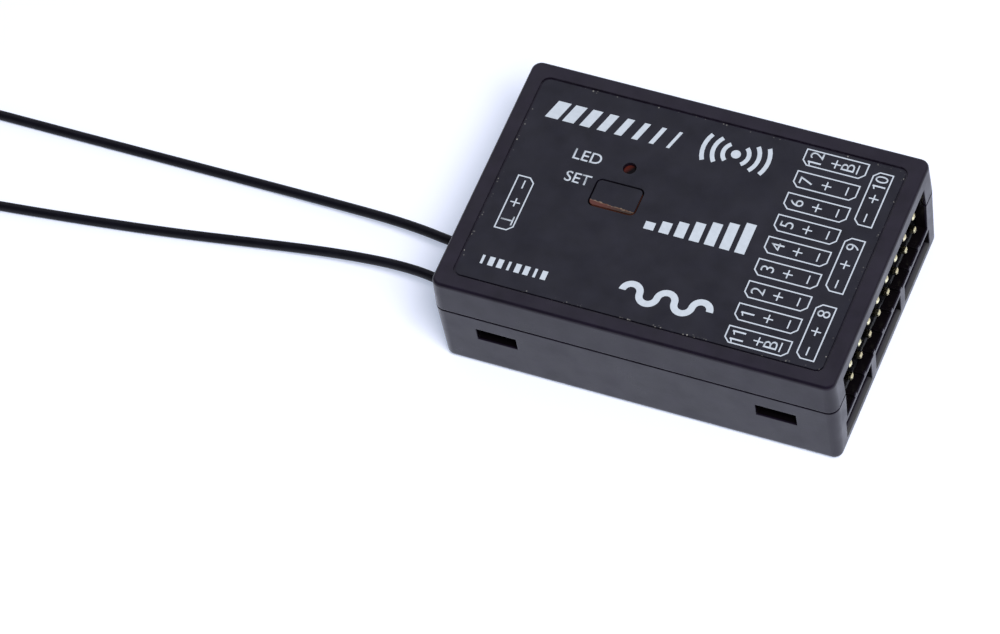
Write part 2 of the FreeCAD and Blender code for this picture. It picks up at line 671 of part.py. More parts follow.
def label_foil():
    """The thin printed foil in the recess, cut out for the button and the light pipe."""
    body = new_body("LabelFoil")
    outline = sketch_on(body, "Outline", "XY_Plane", z=CAP_TOP)
    rounded_rectangle(outline, LABEL_LENGTH, LABEL_WIDTH, "label_radius")
    pad(outline, "label_thickness")
    opening = sketch_on(body, "ButtonHole", "XY_Plane", BUTTON_X, "button_y", FOIL_TOP)
    rounded_rectangle(opening, "button_length + 2 * button_gap", "button_width + 2 * button_gap",
                      "button_radius + button_gap")
    pocket(opening, "2 * label_thickness")
    light = sketch_on(body, "LightHole", "XY_Plane", z=FOIL_TOP)
    circle(light, "light_radius", LIGHT_X, "light_y")
    pocket(light, "2 * label_thickness")
    return finish(body, "label_foil")


def button_cap():
    """The button: a cap in the opening, a flange that keeps it in and a ribbed stem."""
    body = new_body("ButtonCap")
    flange_top = f"({TOP_UNDERSIDE} - flange_gap)"
    flange_low = f"({flange_top} - flange_thickness)"
    cap = sketch_on(body, "Cap", "XY_Plane", BUTTON_X, "button_y", flange_top)
    rounded_rectangle(cap, "button_length", "button_width", "button_radius")
    pad(cap, f"{CAP_TOP} - {flange_top}")
    flange = sketch_on(body, "Flange", "XY_Plane", BUTTON_X, "button_y", flange_low)
    rounded_rectangle(flange, "button_length + 2 * flange_reach", "button_width + 2 * flange_reach",
                      "button_radius")
    pad(flange, "flange_thickness")
    for tag, length, width in (("Long", "plunger_length", "rib_thickness"),
                               ("Cross", "rib_thickness", "plunger_length")):
        rib = sketch_on(body, f"Rib{tag}", "XY_Plane", BUTTON_X, "button_y", PLUNGER_TOP)
        pad(rectangle(rib, length, width), f"{flange_low} - {PLUNGER_TOP}")
    return finish(body, "button_cap")


def button_foil():
    """The piece of the label that is glued on the button."""
    body = new_body("ButtonFoil")
    outline = sketch_on(body, "Outline", "XY_Plane", BUTTON_X, "button_y", CAP_TOP)
    rounded_rectangle(outline, "button_length", "button_width", "button_radius")
    pad(outline, "label_thickness")
    return finish(body, "button_foil")


def light_pipe():
    """The clear rod that brings the status lamp's light up to the label, wide at its foot."""
    body = new_body("LightPipe")
    foot = f"({BOARD_TOP} + lamp_height + light_gap)"
    shaft = sketch_on(body, "Shaft", "XY_Plane", LIGHT_X, "light_y", foot)
    circle(shaft, "light_radius - light_play")
    pad(shaft, f"{FOIL_TOP} - light_sink - {foot}")
    base = sketch_on(body, "Foot", "XY_Plane", LIGHT_X, "light_y", foot)
    circle(base, "light_foot_radius")
    pad(base, "light_foot_height")
    return finish(body, "light_pipe")


# The switch under the button


def switch_housing():
    """The moulded body of the switch, with a well for the plunger."""
    body = new_body("SwitchHousing")
    outline = sketch_on(body, "Outline", "XY_Plane", BUTTON_X, "button_y", BOARD_TOP)
    rectangle(outline, "switch_length", "switch_width")
    pad(outline, "switch_height")
    well = sketch_on(body, "Well", "XY_Plane", BUTTON_X, "button_y", f"{BOARD_TOP} + switch_height")
    rectangle(well, "plunger_length + 2 * plunger_play", "plunger_width + 2 * plunger_play")
    pocket(well, "plunger_depth + button_travel + plunger_play")
    return finish(body, "switch_housing")


def switch_cover():
    """The sheet cover of the switch, with two ears bent down its ends."""
    body = new_body("SwitchCover")
    low = f"({BOARD_TOP} + switch_height)"
    plate = sketch_on(body, "Plate", "XY_Plane", BUTTON_X, "button_y", low)
    rectangle(plate, "switch_length + 2 * switch_sheet", "switch_width")
    pad(plate, "switch_sheet")
    for sign, tag in ((-1, "Left"), (1, "Right")):
        ear_x = f"{BUTTON_X} + {sign} * (switch_length + switch_sheet) / 2"
        ear = sketch_on(body, f"Ear{tag}", "XY_Plane", ear_x, "button_y", low)
        rectangle(ear, "switch_sheet", "switch_width / 2")
        pad(ear, "switch_ear", down=True)
    hole = sketch_on(body, "Hole", "XY_Plane", BUTTON_X, "button_y", f"{low} + switch_sheet")
    rectangle(hole, "plunger_length + 2 * plunger_play", "plunger_width + 2 * plunger_play")
    pocket(hole, "2 * switch_sheet")
    return finish(body, "switch_cover")


def switch_plunger():
    """The plunger that the button's stem rests on."""
    low = f"{PLUNGER_TOP} - plunger_rise - switch_sheet - plunger_depth"
    height = "plunger_rise + switch_sheet + plunger_depth"
    plunger = block("Plunger", "plunger_length", "plunger_width", height, BUTTON_X, "button_y", low)
    return finish(plunger, "switch_plunger")


# Pin headers


def bent_pin(body, level, tail_x, tail_end):
    """Make one square pin: level from its pointed tip to its tail, then bent to the board."""
    half = "pin_size / 2"
    toward = 1 if tail_end == TAIL_BOTTOM else -1
    profile = sketch_on(body, "Side", "XZ_Plane")
    polygon(profile, (
        (PIN_TIP, f"{level} - {toward} * {half}"),
        (PIN_TIP, f"{level} + {toward} * {half}"),
        (f"{tail_x} - {half} + pin_bend", f"{level} + {toward} * {half}"),
        (f"{tail_x} - {half}", f"{level} + {toward} * ({half} - pin_bend)"),
        (f"{tail_x} - {half}", tail_end),
        (f"{tail_x} + {half}", tail_end),
        (f"{tail_x} + {half}", f"{level} - {toward} * {half}")))
    blank = pad(profile, "pin_size", symmetric=True)
    doc.recompute()
    tip = blank.Shape.BoundBox.XMax
    at_tip = edges_where(blank, lambda box: abs(box.XMin - tip) < 0.01 and abs(box.XMax - tip) < 0.01)
    return dress("Chamfer", blank, at_tip, "pin_chamfer")


def put(body, label, y, turned=False):
    """Place a finished header along Y, turned to face the antenna end if asked."""
    place(body, y=y)
    if turned:
        body.Placement.Rotation = FreeCAD.Rotation(UP, 180)
    return finish(body, label)


def pin_row(name, label, level, tail_x, count, spacing, first, turned=False):
    """A row of bent square pins above the board, each a solid of its own."""
    body = new_body(name)
    pin = bent_pin(body, level, tail_x, TAIL_BOTTOM)
    repeat(pin, count, spacing, whole=True)
    return put(body, label, first, turned)


def header_block(name, low, rows, row_pitch, count, spacing):
    """Return a body with the moulded block that holds a header's pins, and a channel for every pin."""
    body = new_body(name)
    width = f"(({count}) - 1) * {spacing} + {PIN_PITCH}"
    high = f"({low} + {rows} * {row_pitch})"
    side = sketch_on(body, "Side", "XZ_Plane")
    polygon(side, (
        (BLOCK_BACK, f"{low} + block_chamfer"), (f"{BLOCK_BACK} + block_chamfer", low),
        (f"{BLOCK_FACE} - block_chamfer", low), (BLOCK_FACE, f"{low} + block_chamfer"),
        (BLOCK_FACE, f"{high} - block_chamfer"), (f"{BLOCK_FACE} - block_chamfer", high),
        (f"{BLOCK_BACK} + block_chamfer", high), (BLOCK_BACK, f"{high} - block_chamfer")))
    pad(side, width, symmetric=True)
    channel = sketch_on(body, "Channels", "YZ_Plane", z=f"{BLOCK_FACE} + block_depth")
    for row in range(rows):
        rectangle(channel, "pin_size", "pin_size", f"-(({count}) - 1) / 2 * {spacing}",
                  f"({low} + ({row} + 0.5) * {row_pitch})")
    all_through = "3 * block_depth"
    repeat(pocket(channel, all_through), count, spacing)
    return body


def headers():
    """All the pin headers: three servo rows, three lower sockets and the telemetry socket."""
    first = f"-(column_count - 1) / 2 * {COLUMN_PITCH}"
    rows = int(number("row_count"))
    servo = header_block("ServoBlock", BOARD_TOP, rows, ROW_PITCH, "column_count", COLUMN_PITCH)
    put(servo, "servo_header_block", "0")
    for row, label in zip(range(rows), ("servo_pins_bottom", "servo_pins_middle", "servo_pins_top")):
        level = f"({UPPER_PIN} + {row} * {ROW_PITCH})"
        tail = f"({TAIL_X} - {row} * {PIN_PITCH})"
        pin_row(f"ServoPins{row}", label, level, tail, "column_count", COLUMN_PITCH, first)
    lower_low = f"(board_level - {LOWER_PITCH})"
    lower = header_block("LowerBlocks", lower_low, 1, LOWER_PITCH, "plug_pins", PIN_PITCH)
    repeat(lower.Tip, "socket_count", SOCKET_PITCH, whole=True)
    put(lower, "lower_header_blocks", f"-(socket_count - 1) / 2 * {SOCKET_PITCH}")
    lower_pins()
    telemetry = header_block("TelemetryBlock", BOARD_TOP, 1, ROW_PITCH, "plug_pins", PIN_PITCH)
    put(telemetry, "telemetry_header_block", "telemetry_place", turned=True)
    pin_row("TelemetryPins", "telemetry_header_pins", UPPER_PIN, TAIL_X, "plug_pins", PIN_PITCH,
            f"telemetry_place + (plug_pins - 1) / 2 * {PIN_PITCH}", turned=True)


def lower_pins():
    """The nine pins of the three lower sockets, whose tails go up through the board."""
    body = new_body("LowerPins")
    pin = bent_pin(body, LOWER_PIN, LOWER_TAIL, f"({BOARD_TOP} + tail_stub)")
    trio = repeat(pin, "plug_pins", PIN_PITCH, whole=True)
    repeat(trio, "socket_count", SOCKET_PITCH, whole=True)
    first = f"-(plug_pins - 1) / 2 * {PIN_PITCH} - (socket_count - 1) / 2 * {SOCKET_PITCH}"
    return put(body, "lower_header_pins", first)


# The board and the parts soldered to it


def main_board():
    """The circuit board, with holes for the pegs and for every tail."""
    body = new_body("MainBoard")
    narrow = f"2 * ({lean('board_level')} + board_gap)"
    outline = sketch_on(body, "Outline", "XY_Plane", z="board_level")
    rounded_rectangle(outline, f"{INNER_LENGTH} - {narrow}", f"{INNER_WIDTH} - {narrow}", "inner_radius")
    pad(outline, "board_thickness")
    pegs = sketch_on(body, "PegHoles", "XY_Plane", z=BOARD_TOP)
    for x, y in post_places():
        circle(pegs, "peg_radius + peg_play", x, y)
    pocket(pegs, "2 * board_thickness")
    hole = "pin_size + 2 * tail_play"
    servo = sketch_on(body, "ServoHoles", "XY_Plane", z=BOARD_TOP)
    for row in range(int(number("row_count"))):
        rectangle(servo, hole, hole, f"{TAIL_X} - {row} * {PIN_PITCH}",
                  f"-(column_count - 1) / 2 * {COLUMN_PITCH}")
    repeat(pocket(servo, "2 * board_thickness"), "column_count", COLUMN_PITCH)
    tails = sketch_on(body, "TailHoles", "XY_Plane", z=BOARD_TOP)
    lower = sketch_on(body, "LowerHoles", "XY_Plane", z=BOARD_TOP)
    for pin in range(int(number("plug_pins"))):
        across = f"({pin} - (plug_pins - 1) / 2) * {PIN_PITCH}"
        rectangle(tails, hole, hole, f"-1 * {TAIL_X}", f"telemetry_place + {across}")
        rectangle(lower, hole, hole, LOWER_TAIL, f"{across} - (socket_count - 1) / 2 * {SOCKET_PITCH}")
    pocket(tails, "2 * board_thickness")
    repeat(pocket(lower, "2 * board_thickness"), "socket_count", SOCKET_PITCH)
    return finish(body, "main_board")


def microcontroller():
    """A flat square chip under the board, with a row of bent legs on each side."""
    body = new_body("Microcontroller")
    low = "leg_thickness"
    slab = sketch_on(body, "Slab", "XY_Plane", z=low)
    rectangle(slab, "controller_side", "controller_side")
    pad(slab, "controller_height")
    knee = "controller_side / 2 + leg_reach / 2"
    toe = "controller_side / 2 + leg_reach"
    shoulder = "leg_thickness + controller_height / 2"
    first = "(leg_count - 1) / 2 * leg_pitch"
    leg = sketch_on(body, "Leg", "XZ_Plane", z=first)
    polygon(leg, (
        ("controller_side / 2 - leg_thickness", shoulder),
        (f"{knee} - leg_thickness", shoulder),
        (f"{knee} - leg_thickness", "0"),
        (toe, "0"),
        (toe, "leg_thickness"),
        (knee, "leg_thickness"),
        (knee, f"{shoulder} + leg_thickness"),
        ("controller_side / 2 - leg_thickness", f"{shoulder} + leg_thickness")))
    shape = pad(leg, "leg_width", symmetric=True)
    turns = body.newObject("PartDesign::MultiTransform", "ControllerLegs")
    turns.Originals = [shape]
    side = body.newObject("PartDesign::LinearPattern", "LegSide")
    side.Direction = (origin_plane(body, "Y_Axis"), [""])
    side.Mode = "Spacing"
    bind(side, Offset="leg_pitch", Occurrences="leg_count")
    around = body.newObject("PartDesign::PolarPattern", "LegRound")
    around.Axis = (origin_plane(body, "Z_Axis"), [""])
    around.Angle = 360
    around.Occurrences = 4
    turns.Transformations = [side, around]
    body.Tip = turns
    place(body, CONTROLLER_X, "case_width / 2 - controller_y", "board_level")
    body.Placement.Rotation = FreeCAD.Rotation(Vector(1, 0, 0), 180)
    return finish(body, "microcontroller")


def status_lamp():
    """The small lamp on the board under the light pipe."""
    lamp = block("Lamp", "lamp_length", "lamp_width", "lamp_height", LIGHT_X, "light_y", BOARD_TOP)
    return finish(lamp, "status_lamp")


def chips(name, label, length, width, height, places, under=False):
    """A group of like chips on the board, or under it."""
    level = f"board_level - ({height})" if under else BOARD_TOP
    solids = []
    for index, (x, y) in enumerate(places):
        solids.append(block(f"{name}{index}", length, width, height, x, y, level))
    if len(solids) == 1:
        return finish(solids[0], label)
    return finish(grouped(name, solids), label)


def small_parts():
    """The crystal, the bulk capacitors, and the ceramic capacitors and resistors in two columns each."""
    crystal_x = f"({CONTROLLER_X} - controller_side / 2 - leg_reach - crystal_gap - crystal_length / 2)"
    chips("Crystal", "crystal", "crystal_length", "crystal_width", "crystal_height",
          [(crystal_x, "case_width / 2 - crystal_y")], under=True)
    bulk_x = f"({LAST_TAIL} - pin_size / 2 - bulk_gap - bulk_length / 2)"
    chips("BulkCapacitors", "bulk_capacitors", "bulk_length", "bulk_width", "bulk_height",
          [(bulk_x, "bulk_front"), (bulk_x, "bulk_back")])
    for name, label, height in (("Ceramic", "ceramic_capacitors", "chip_width"),
                                ("Resistor", "chip_resistors", "resistor_height")):
        group = name.lower()
        places = [(f"{ANTENNA_END} + {group}_x + {column} * {group}_step", f"{group}_y + {row} * {group}_row")
                  for column in range(2) for row in range(3)]
        chips(name, label, "chip_length", "chip_width", height, places)


def radio_parts():
    """The radio chip and its two amplifiers under the board, inside the shield."""
    inside_x = "(can_length / 2 - can_sheet - shielded_gap)"
    inside_y = "(can_width / 2 - can_sheet - shielded_gap)"
    chips("RadioChip", "radio_chip", "radio_side", "radio_side", "radio_height",
          [(f"{CAN_X} + {inside_x} - radio_side / 2", CAN_Y)], under=True)
    amplifier_x = f"{CAN_X} - {inside_x} + amplifier_side / 2"
    chips("RadioAmplifiers", "radio_amplifiers", "amplifier_side", "amplifier_side", "amplifier_height",
          [(amplifier_x, f"{CAN_Y} + {side} * ({inside_y} - amplifier_side / 2)") for side in SIDES],
          under=True)


def voltage_regulator():
    """A regulator with a cooling tab on one side and three legs on the other."""
    x = f"(({LAST_TAIL} - {TAIL_X}) / 2)"
    y = "(regulator_y - case_width / 2)"
    reach = "(regulator_width / 2 + regulator_reach)"
    sheet_height = "2 * leg_thickness"
    pieces = [
        block("RegulatorSlab", "regulator_length", "regulator_width", "regulator_height", x, y, BOARD_TOP),
        block("RegulatorTab", "regulator_tab", reach, sheet_height, x, f"{y} + {reach} / 2", BOARD_TOP)]
    for step in (-1, 0, 1):
        pieces.append(block(f"RegulatorLeg{step + 1}", "regulator_leg", reach, sheet_height,
                            f"{x} + {step} * regulator_pitch", f"{y} - {reach} / 2", BOARD_TOP))
    return finish(fused("Regulator", *pieces), "voltage_regulator")


def radio_shield():
    """The sheet can over the radio chips, under the board."""
    low = "board_level - can_height"
    skin = block("CanSkin", "can_length", "can_width", "can_height", CAN_X, CAN_Y, low)
    inside = block("CanInside", "can_length - 2 * can_sheet", "can_width - 2 * can_sheet", "can_height",
                   CAN_X, CAN_Y, f"{low} + can_sheet")
    return finish(cut("Can", skin, inside), "radio_shield")


def coax_sockets():
    """The two coax sockets under the board."""
    sockets = []
    for tag, y in (("First", "lead_first_y"), ("Second", "lead_second_y")):
        base = block(f"CoaxBase{tag}", "coax_base", "coax_base", "coax_sheet", COAX_X, y,
                     "board_level - coax_sheet")
        barrel = rod(f"CoaxBarrel{tag}", "coax_radius", "coax_height", COAX_X, y,
                     "board_level - coax_sheet - coax_height")
        sockets.append(fused(f"CoaxSocket{tag}", base, barrel))
    return finish(grouped("CoaxSockets", sockets), "coax_sockets")


def coax_plugs():
    """The two plugs snapped onto the coax sockets, each with a crimp that holds its lead."""
    plugs = []
    cap_low = "board_level - coax_sheet - cap_gap - cap_height"
    for tag, y in (("First", "lead_first_y"), ("Second", "lead_second_y")):
        cap = rod(f"PlugCap{tag}", "cap_radius", "cap_height", COAX_X, y, cap_low)
        crimp = rod(f"PlugCrimp{tag}", "crimp_radius", "crimp_reach", COAX_X, y, "lead_level")
        crimp.Placement.Rotation = FreeCAD.Rotation(Vector(0, 1, 0), -90)
        shape = fused(f"PlugShape{tag}", cap, crimp)
        well = rod(f"PlugWell{tag}", "coax_radius + cap_gap", "coax_height + cap_gap", COAX_X, y,
                   "board_level - coax_sheet - coax_height - cap_gap")
        plugs.append(cut(f"Plug{tag}", shape, well))
    return finish(grouped("CoaxPlugs", plugs), "coax_plugs")


# The antenna leads


def lead_route(y, *beyond):
    """Return a lead's route: straight from its plug and out of the wall, then by hand."""
    inside = number("coax_x") - number("crimp_reach") - number("case_length") / 2
    start = Vector(inside, y, number("lead_level"))
    return [start] + [Vector(*point) for point in beyond]


REST = number("lead_diameter") / 2
FIRST_Y = number("lead_first_y")
SECOND_Y = number("lead_second_y")
LEVEL = number("lead_level")

FIRST_ROUTE = lead_route(
    FIRST_Y,
    (-25.2, FIRST_Y, LEVEL),
    (-32.5, -1.95, 2.4),
    (-42.5, -1.1, 1.1),
    (-56.0, -0.62, REST),
    (-75.0, -0.54, REST),
    (-92.0, -0.74, REST))

SECOND_ROUTE = lead_route(
    SECOND_Y,
    (-24.6, SECOND_Y, LEVEL),
    (-31.2, -7.05, 2.5),
    (-38.5, -6.75, 1.5),
    (-48.0, -7.5, 0.75),
    (-60.0, -9.4, REST),
    (-76.0, -12.2, REST),
    (-90.6, -15.12, REST))


def lead_path(route):
    """Return a wire of straight runs joined by tangent arcs, and the radii of the arcs."""
    share_of_run = 0.45
    edges = []
    radii = []
    last = route[0]
    for before, corner, after in zip(route, route[1:], route[2:]):
        back = (before - corner).normalize()
        ahead = (after - corner).normalize()
        half_turn = (math.pi - back.getAngle(ahead)) / 2
        reach = share_of_run * min(corner.distanceToPoint(before), corner.distanceToPoint(after))
        radius = reach / math.tan(half_turn)
        inward = (back + ahead).normalize()
        middle = corner + inward * (radius / math.cos(half_turn) - radius)
        edges.append(Part.LineSegment(last, corner + back * reach).toShape())
        edges.append(Part.Arc(corner + back * reach, middle, corner + ahead * reach).toShape())
        last = corner + ahead * reach
        radii.append(radius)
    edges.append(Part.LineSegment(last, route[-1]).toShape())
    return Part.Wire(edges), radii


def antenna_lead(name, label, route):
    """One lead from its plug to the coil that it is put away in."""
    wire, radii = lead_path(route)
    start = route[0]
    outline = Part.Wire([Part.makeCircle(REST, start, route[1] - start)])
    lead = doc.addObject("Part::Feature", name)
    lead.Shape = wire.makePipeShell([outline], True, False)
    lead.Placement = FreeCAD.Placement()
    straight = math.pi * REST ** 2 * wire.Length
    print(f"{label}: length {wire.Length:.2f}, radii {[round(radius, 1) for radius in radii]}, "
          f"volume {lead.Shape.Volume:.3f} against {straight:.3f}")
    return finish(lead, label)


def antenna_coil(name, label, route, side):
    """The put-away turns of a lead: a flat ring with a straight piece where the lead comes in."""
    body = new_body(name)
    outer = "(coil_radius + lead_diameter)"
    ring = sketch_on(body, "Ring", "XY_Plane")
    rim = number("coil_radius") + number("lead_diameter")
    low = number("coil_radius")
    meet = math.sqrt(rim ** 2 - low ** 2)
    end = 2 * math.pi + math.atan2(low, meet)
    ring.addGeometry(Part.ArcOfCircle(Part.Circle(Vector(0, 0, 0), UP, rim), math.pi / 2, end))
    ring.addGeometry(Part.LineSegment(Vector(meet, low, 0), Vector(meet + 1, low, 0)))
    ring.addGeometry(Part.LineSegment(Vector(meet + 1, low, 0), Vector(meet + 1, rim, 0)))
    ring.addGeometry(Part.LineSegment(Vector(meet + 1, rim, 0), Vector(0, rim, 0)))
    for index in range(4):
        ring.addConstraint(Sketcher.Constraint("Coincident", index, 2, (index + 1) % 4, 1))
    ring.addConstraint(Sketcher.Constraint("Coincident", 0, 3, -1, 1))
    ring.addConstraint(Sketcher.Constraint("PointOnObject", 0, 1, -2))
    for index in (1, 3):
        ring.addConstraint(Sketcher.Constraint("Horizontal", index))
    ring.addConstraint(Sketcher.Constraint("Vertical", 2))
    tie(ring, outer, "Radius", 0, rim)
    tie(ring, "coil_radius", "DistanceY", -1, 1, 1, 1, low)
    tie(ring, "coil_stub", "DistanceX", -1, 1, 2, 1, meet + 1)
    circle(ring, "coil_radius - lead_diameter")
    pad(ring, "lead_diameter")
    heading = (route[-2] - route[-1]).normalize()
    angle = math.degrees(math.atan2(heading.y, heading.x))
    turn = FreeCAD.Rotation(UP, angle)
    if side > 0:
        turn = turn.multiply(FreeCAD.Rotation(Vector(1, 0, 0), 180))
    rim_middle = number("coil_radius") + number("lead_diameter") / 2
    entry = Vector(number("coil_stub"), rim_middle, number("lead_diameter") / 2)
    body.Placement = FreeCAD.Placement(route[-1] - turn.multVec(entry), turn)
    return finish(body, label)


# Build everything, check it and write it

lower_shell()
upper_shell()
label_foil()
button_cap()
button_foil()
light_pipe()
switch_housing()
switch_cover()
switch_plunger()
headers()
main_board()
microcontroller()
status_lamp()
small_parts()
voltage_regulator()
radio_parts()
radio_shield()
coax_sockets()
coax_plugs()
antenna_lead("FirstLead", "antenna_lead_1", FIRST_ROUTE)
antenna_lead("SecondLead", "antenna_lead_2", SECOND_ROUTE)
antenna_coil("FirstCoil", "antenna_coil_1", FIRST_ROUTE, 1)
antenna_coil("SecondCoil", "antenna_coil_2", SECOND_ROUTE, -1)
doc.recompute()

faults = [item.Name for item in doc.Objects if any(state in item.State for state in BAD_STATES)]
for item in subparts:
    if item.Shape.isNull() or not item.Shape.isValid():
        faults.append(item.Label)
if faults:
    raise RuntimeError(f"these objects failed: {', '.join(faults)}")

os.makedirs("parts", exist_ok=True)
for item in subparts:
    item.Shape.exportStep(os.path.join("parts", f"{item.Label}.step"))
    print(f"{item.Label}: {len(item.Shape.Solids)} solids, {item.Shape.Volume:.2f} cubic mm")
print(f"{len(subparts)} sub-parts written")
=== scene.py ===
"""Dresses the rc receiver: camera and studio, antenna leads, finishes, and the print on its label.

Metres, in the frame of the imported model: +X to the servo sockets, +Y to the back, +Z up.
"""

from __future__ import annotations

import logging
import math
from collections.abc import Callable, Iterator
from contextlib import contextmanager
from dataclasses import dataclass, field
from enum import Enum

import bmesh
import bpy
from mathutils import Matrix, Vector


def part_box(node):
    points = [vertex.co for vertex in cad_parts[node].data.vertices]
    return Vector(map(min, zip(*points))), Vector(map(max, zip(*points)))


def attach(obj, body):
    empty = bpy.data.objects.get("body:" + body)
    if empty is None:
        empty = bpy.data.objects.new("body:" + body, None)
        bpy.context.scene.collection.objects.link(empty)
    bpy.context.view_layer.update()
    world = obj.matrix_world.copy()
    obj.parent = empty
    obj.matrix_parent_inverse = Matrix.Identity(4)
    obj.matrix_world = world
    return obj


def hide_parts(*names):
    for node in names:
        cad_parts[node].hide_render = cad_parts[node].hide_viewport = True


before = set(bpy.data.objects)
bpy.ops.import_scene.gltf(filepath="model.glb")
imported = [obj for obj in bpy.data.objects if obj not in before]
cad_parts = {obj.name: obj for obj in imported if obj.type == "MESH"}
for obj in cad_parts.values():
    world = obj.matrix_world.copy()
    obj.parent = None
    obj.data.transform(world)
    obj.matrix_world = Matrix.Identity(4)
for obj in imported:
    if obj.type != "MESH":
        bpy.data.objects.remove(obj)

LOG = logging.getLogger("receiver")
MM = 0.001
CASE = "case"
Pair = tuple[float, float]
Triple = tuple[float, float, float]
Colour = Triple

# The values that noise mostly takes
NOISE_SPAN: Pair = (0.3, 0.7)
# The Mix node's inputs for the share and the two colours, and its output for the blend
MIX_INPUTS = (0, 6, 7)
MIX_OUTPUT = 2


class Graph:
    """The node tree of a material or of the world."""

    def __init__(self, owner: bpy.types.Material | bpy.types.World) -> None:
        """Empty the owner's node tree."""
        owner.use_nodes = True
        self.tree = owner.node_tree
        self.tree.nodes.clear()

    def add(self, kind: str, inputs: dict | None = None, **settings: object) -> bpy.types.Node:
        """Add one node.

        Args:
            kind: The node's type, without the words that all shader nodes start with.
            inputs: For each input, by name or number, its value or the output that feeds it.
            settings: Properties of the node itself.

        Returns:
            The new node.
        """
        node = self.tree.nodes.new(f"ShaderNode{kind}")
        for name, value in settings.items():
            setattr(node, name, value)
        for name, value in (inputs or {}).items():
            if isinstance(value, bpy.types.NodeSocket):
                self.tree.links.new(value, node.inputs[name])
            else:
                node.inputs[name].default_value = value
        return node

    def math(self, operation: str, *terms: object) -> bpy.types.NodeSocket:
        """Return the output of a math node.

        Args:
            operation: The name of the operation.
            terms: Numbers or outputs.

        Returns:
            The result's socket.
        """
        return self.add("Math", dict(enumerate(terms)), operation=operation).outputs[0]

    def between(self, source: bpy.types.NodeSocket, low: float, high: float, to_low: float = 0.0,
                to_high: float = 1.0) -> bpy.types.NodeSocket:
        """Return a value carried from one range to another, held at its ends.

        Args:
            source: The value.
            low: Where the first range starts.
            high: Where the first range ends.
            to_low: What the start becomes.
            to_high: What the end becomes.

        Returns:
            The result's socket.
        """
        ranged = self.add("MapRange", {"Value": source, "From Min": low, "From Max": high,
                                       "To Min": to_low, "To Max": to_high})
        return ranged.outputs["Result"]

    def blend(self, share: object, first: object, second: object) -> bpy.types.NodeSocket:
        """Return a colour between two colours.

        Args:
            share: How much of the second colour there is.
            first: A colour or an output.
            second: A colour or an output.

        Returns:
            The result's socket.
        """
        node = self.add("Mix", data_type="RGBA")
        for index, value in zip(MIX_INPUTS, (share, first, second)):
            socket = node.inputs[index]
            if isinstance(value, bpy.types.NodeSocket):
                self.tree.links.new(value, socket)
            else:
                socket.default_value = value if isinstance(value, float) else (*value, 1.0)
        return node.outputs[MIX_OUTPUT]

    def noise(self, size: float, detail: float = 2.0,
              stretch: Triple = (1.0, 1.0, 1.0)) -> bpy.types.NodeSocket:
        """Return noise on the object's own coordinates.

        Args:
            size: The size of its patches in metres.
            detail: How many finer layers it has.
            stretch: How much finer it is along each axis.

        Returns:
            The noise's value.
        """
        mapping = self.add("Mapping", {"Vector": self.coordinates(), "Scale": stretch})
        texture = self.add("TexNoise", {"Vector": mapping.outputs[0], "Scale": 1.0 / size, "Detail": detail})
        return texture.outputs[0]

    def coordinates(self) -> bpy.types.NodeSocket:
        """Return the object's own coordinates."""
        return self.add("TexCoord").outputs["Object"]

    def axes(self) -> list[bpy.types.NodeSocket]:
        """Return the three object coordinates one by one."""
        return list(self.add("SeparateXYZ", {0: self.coordinates()}).outputs)


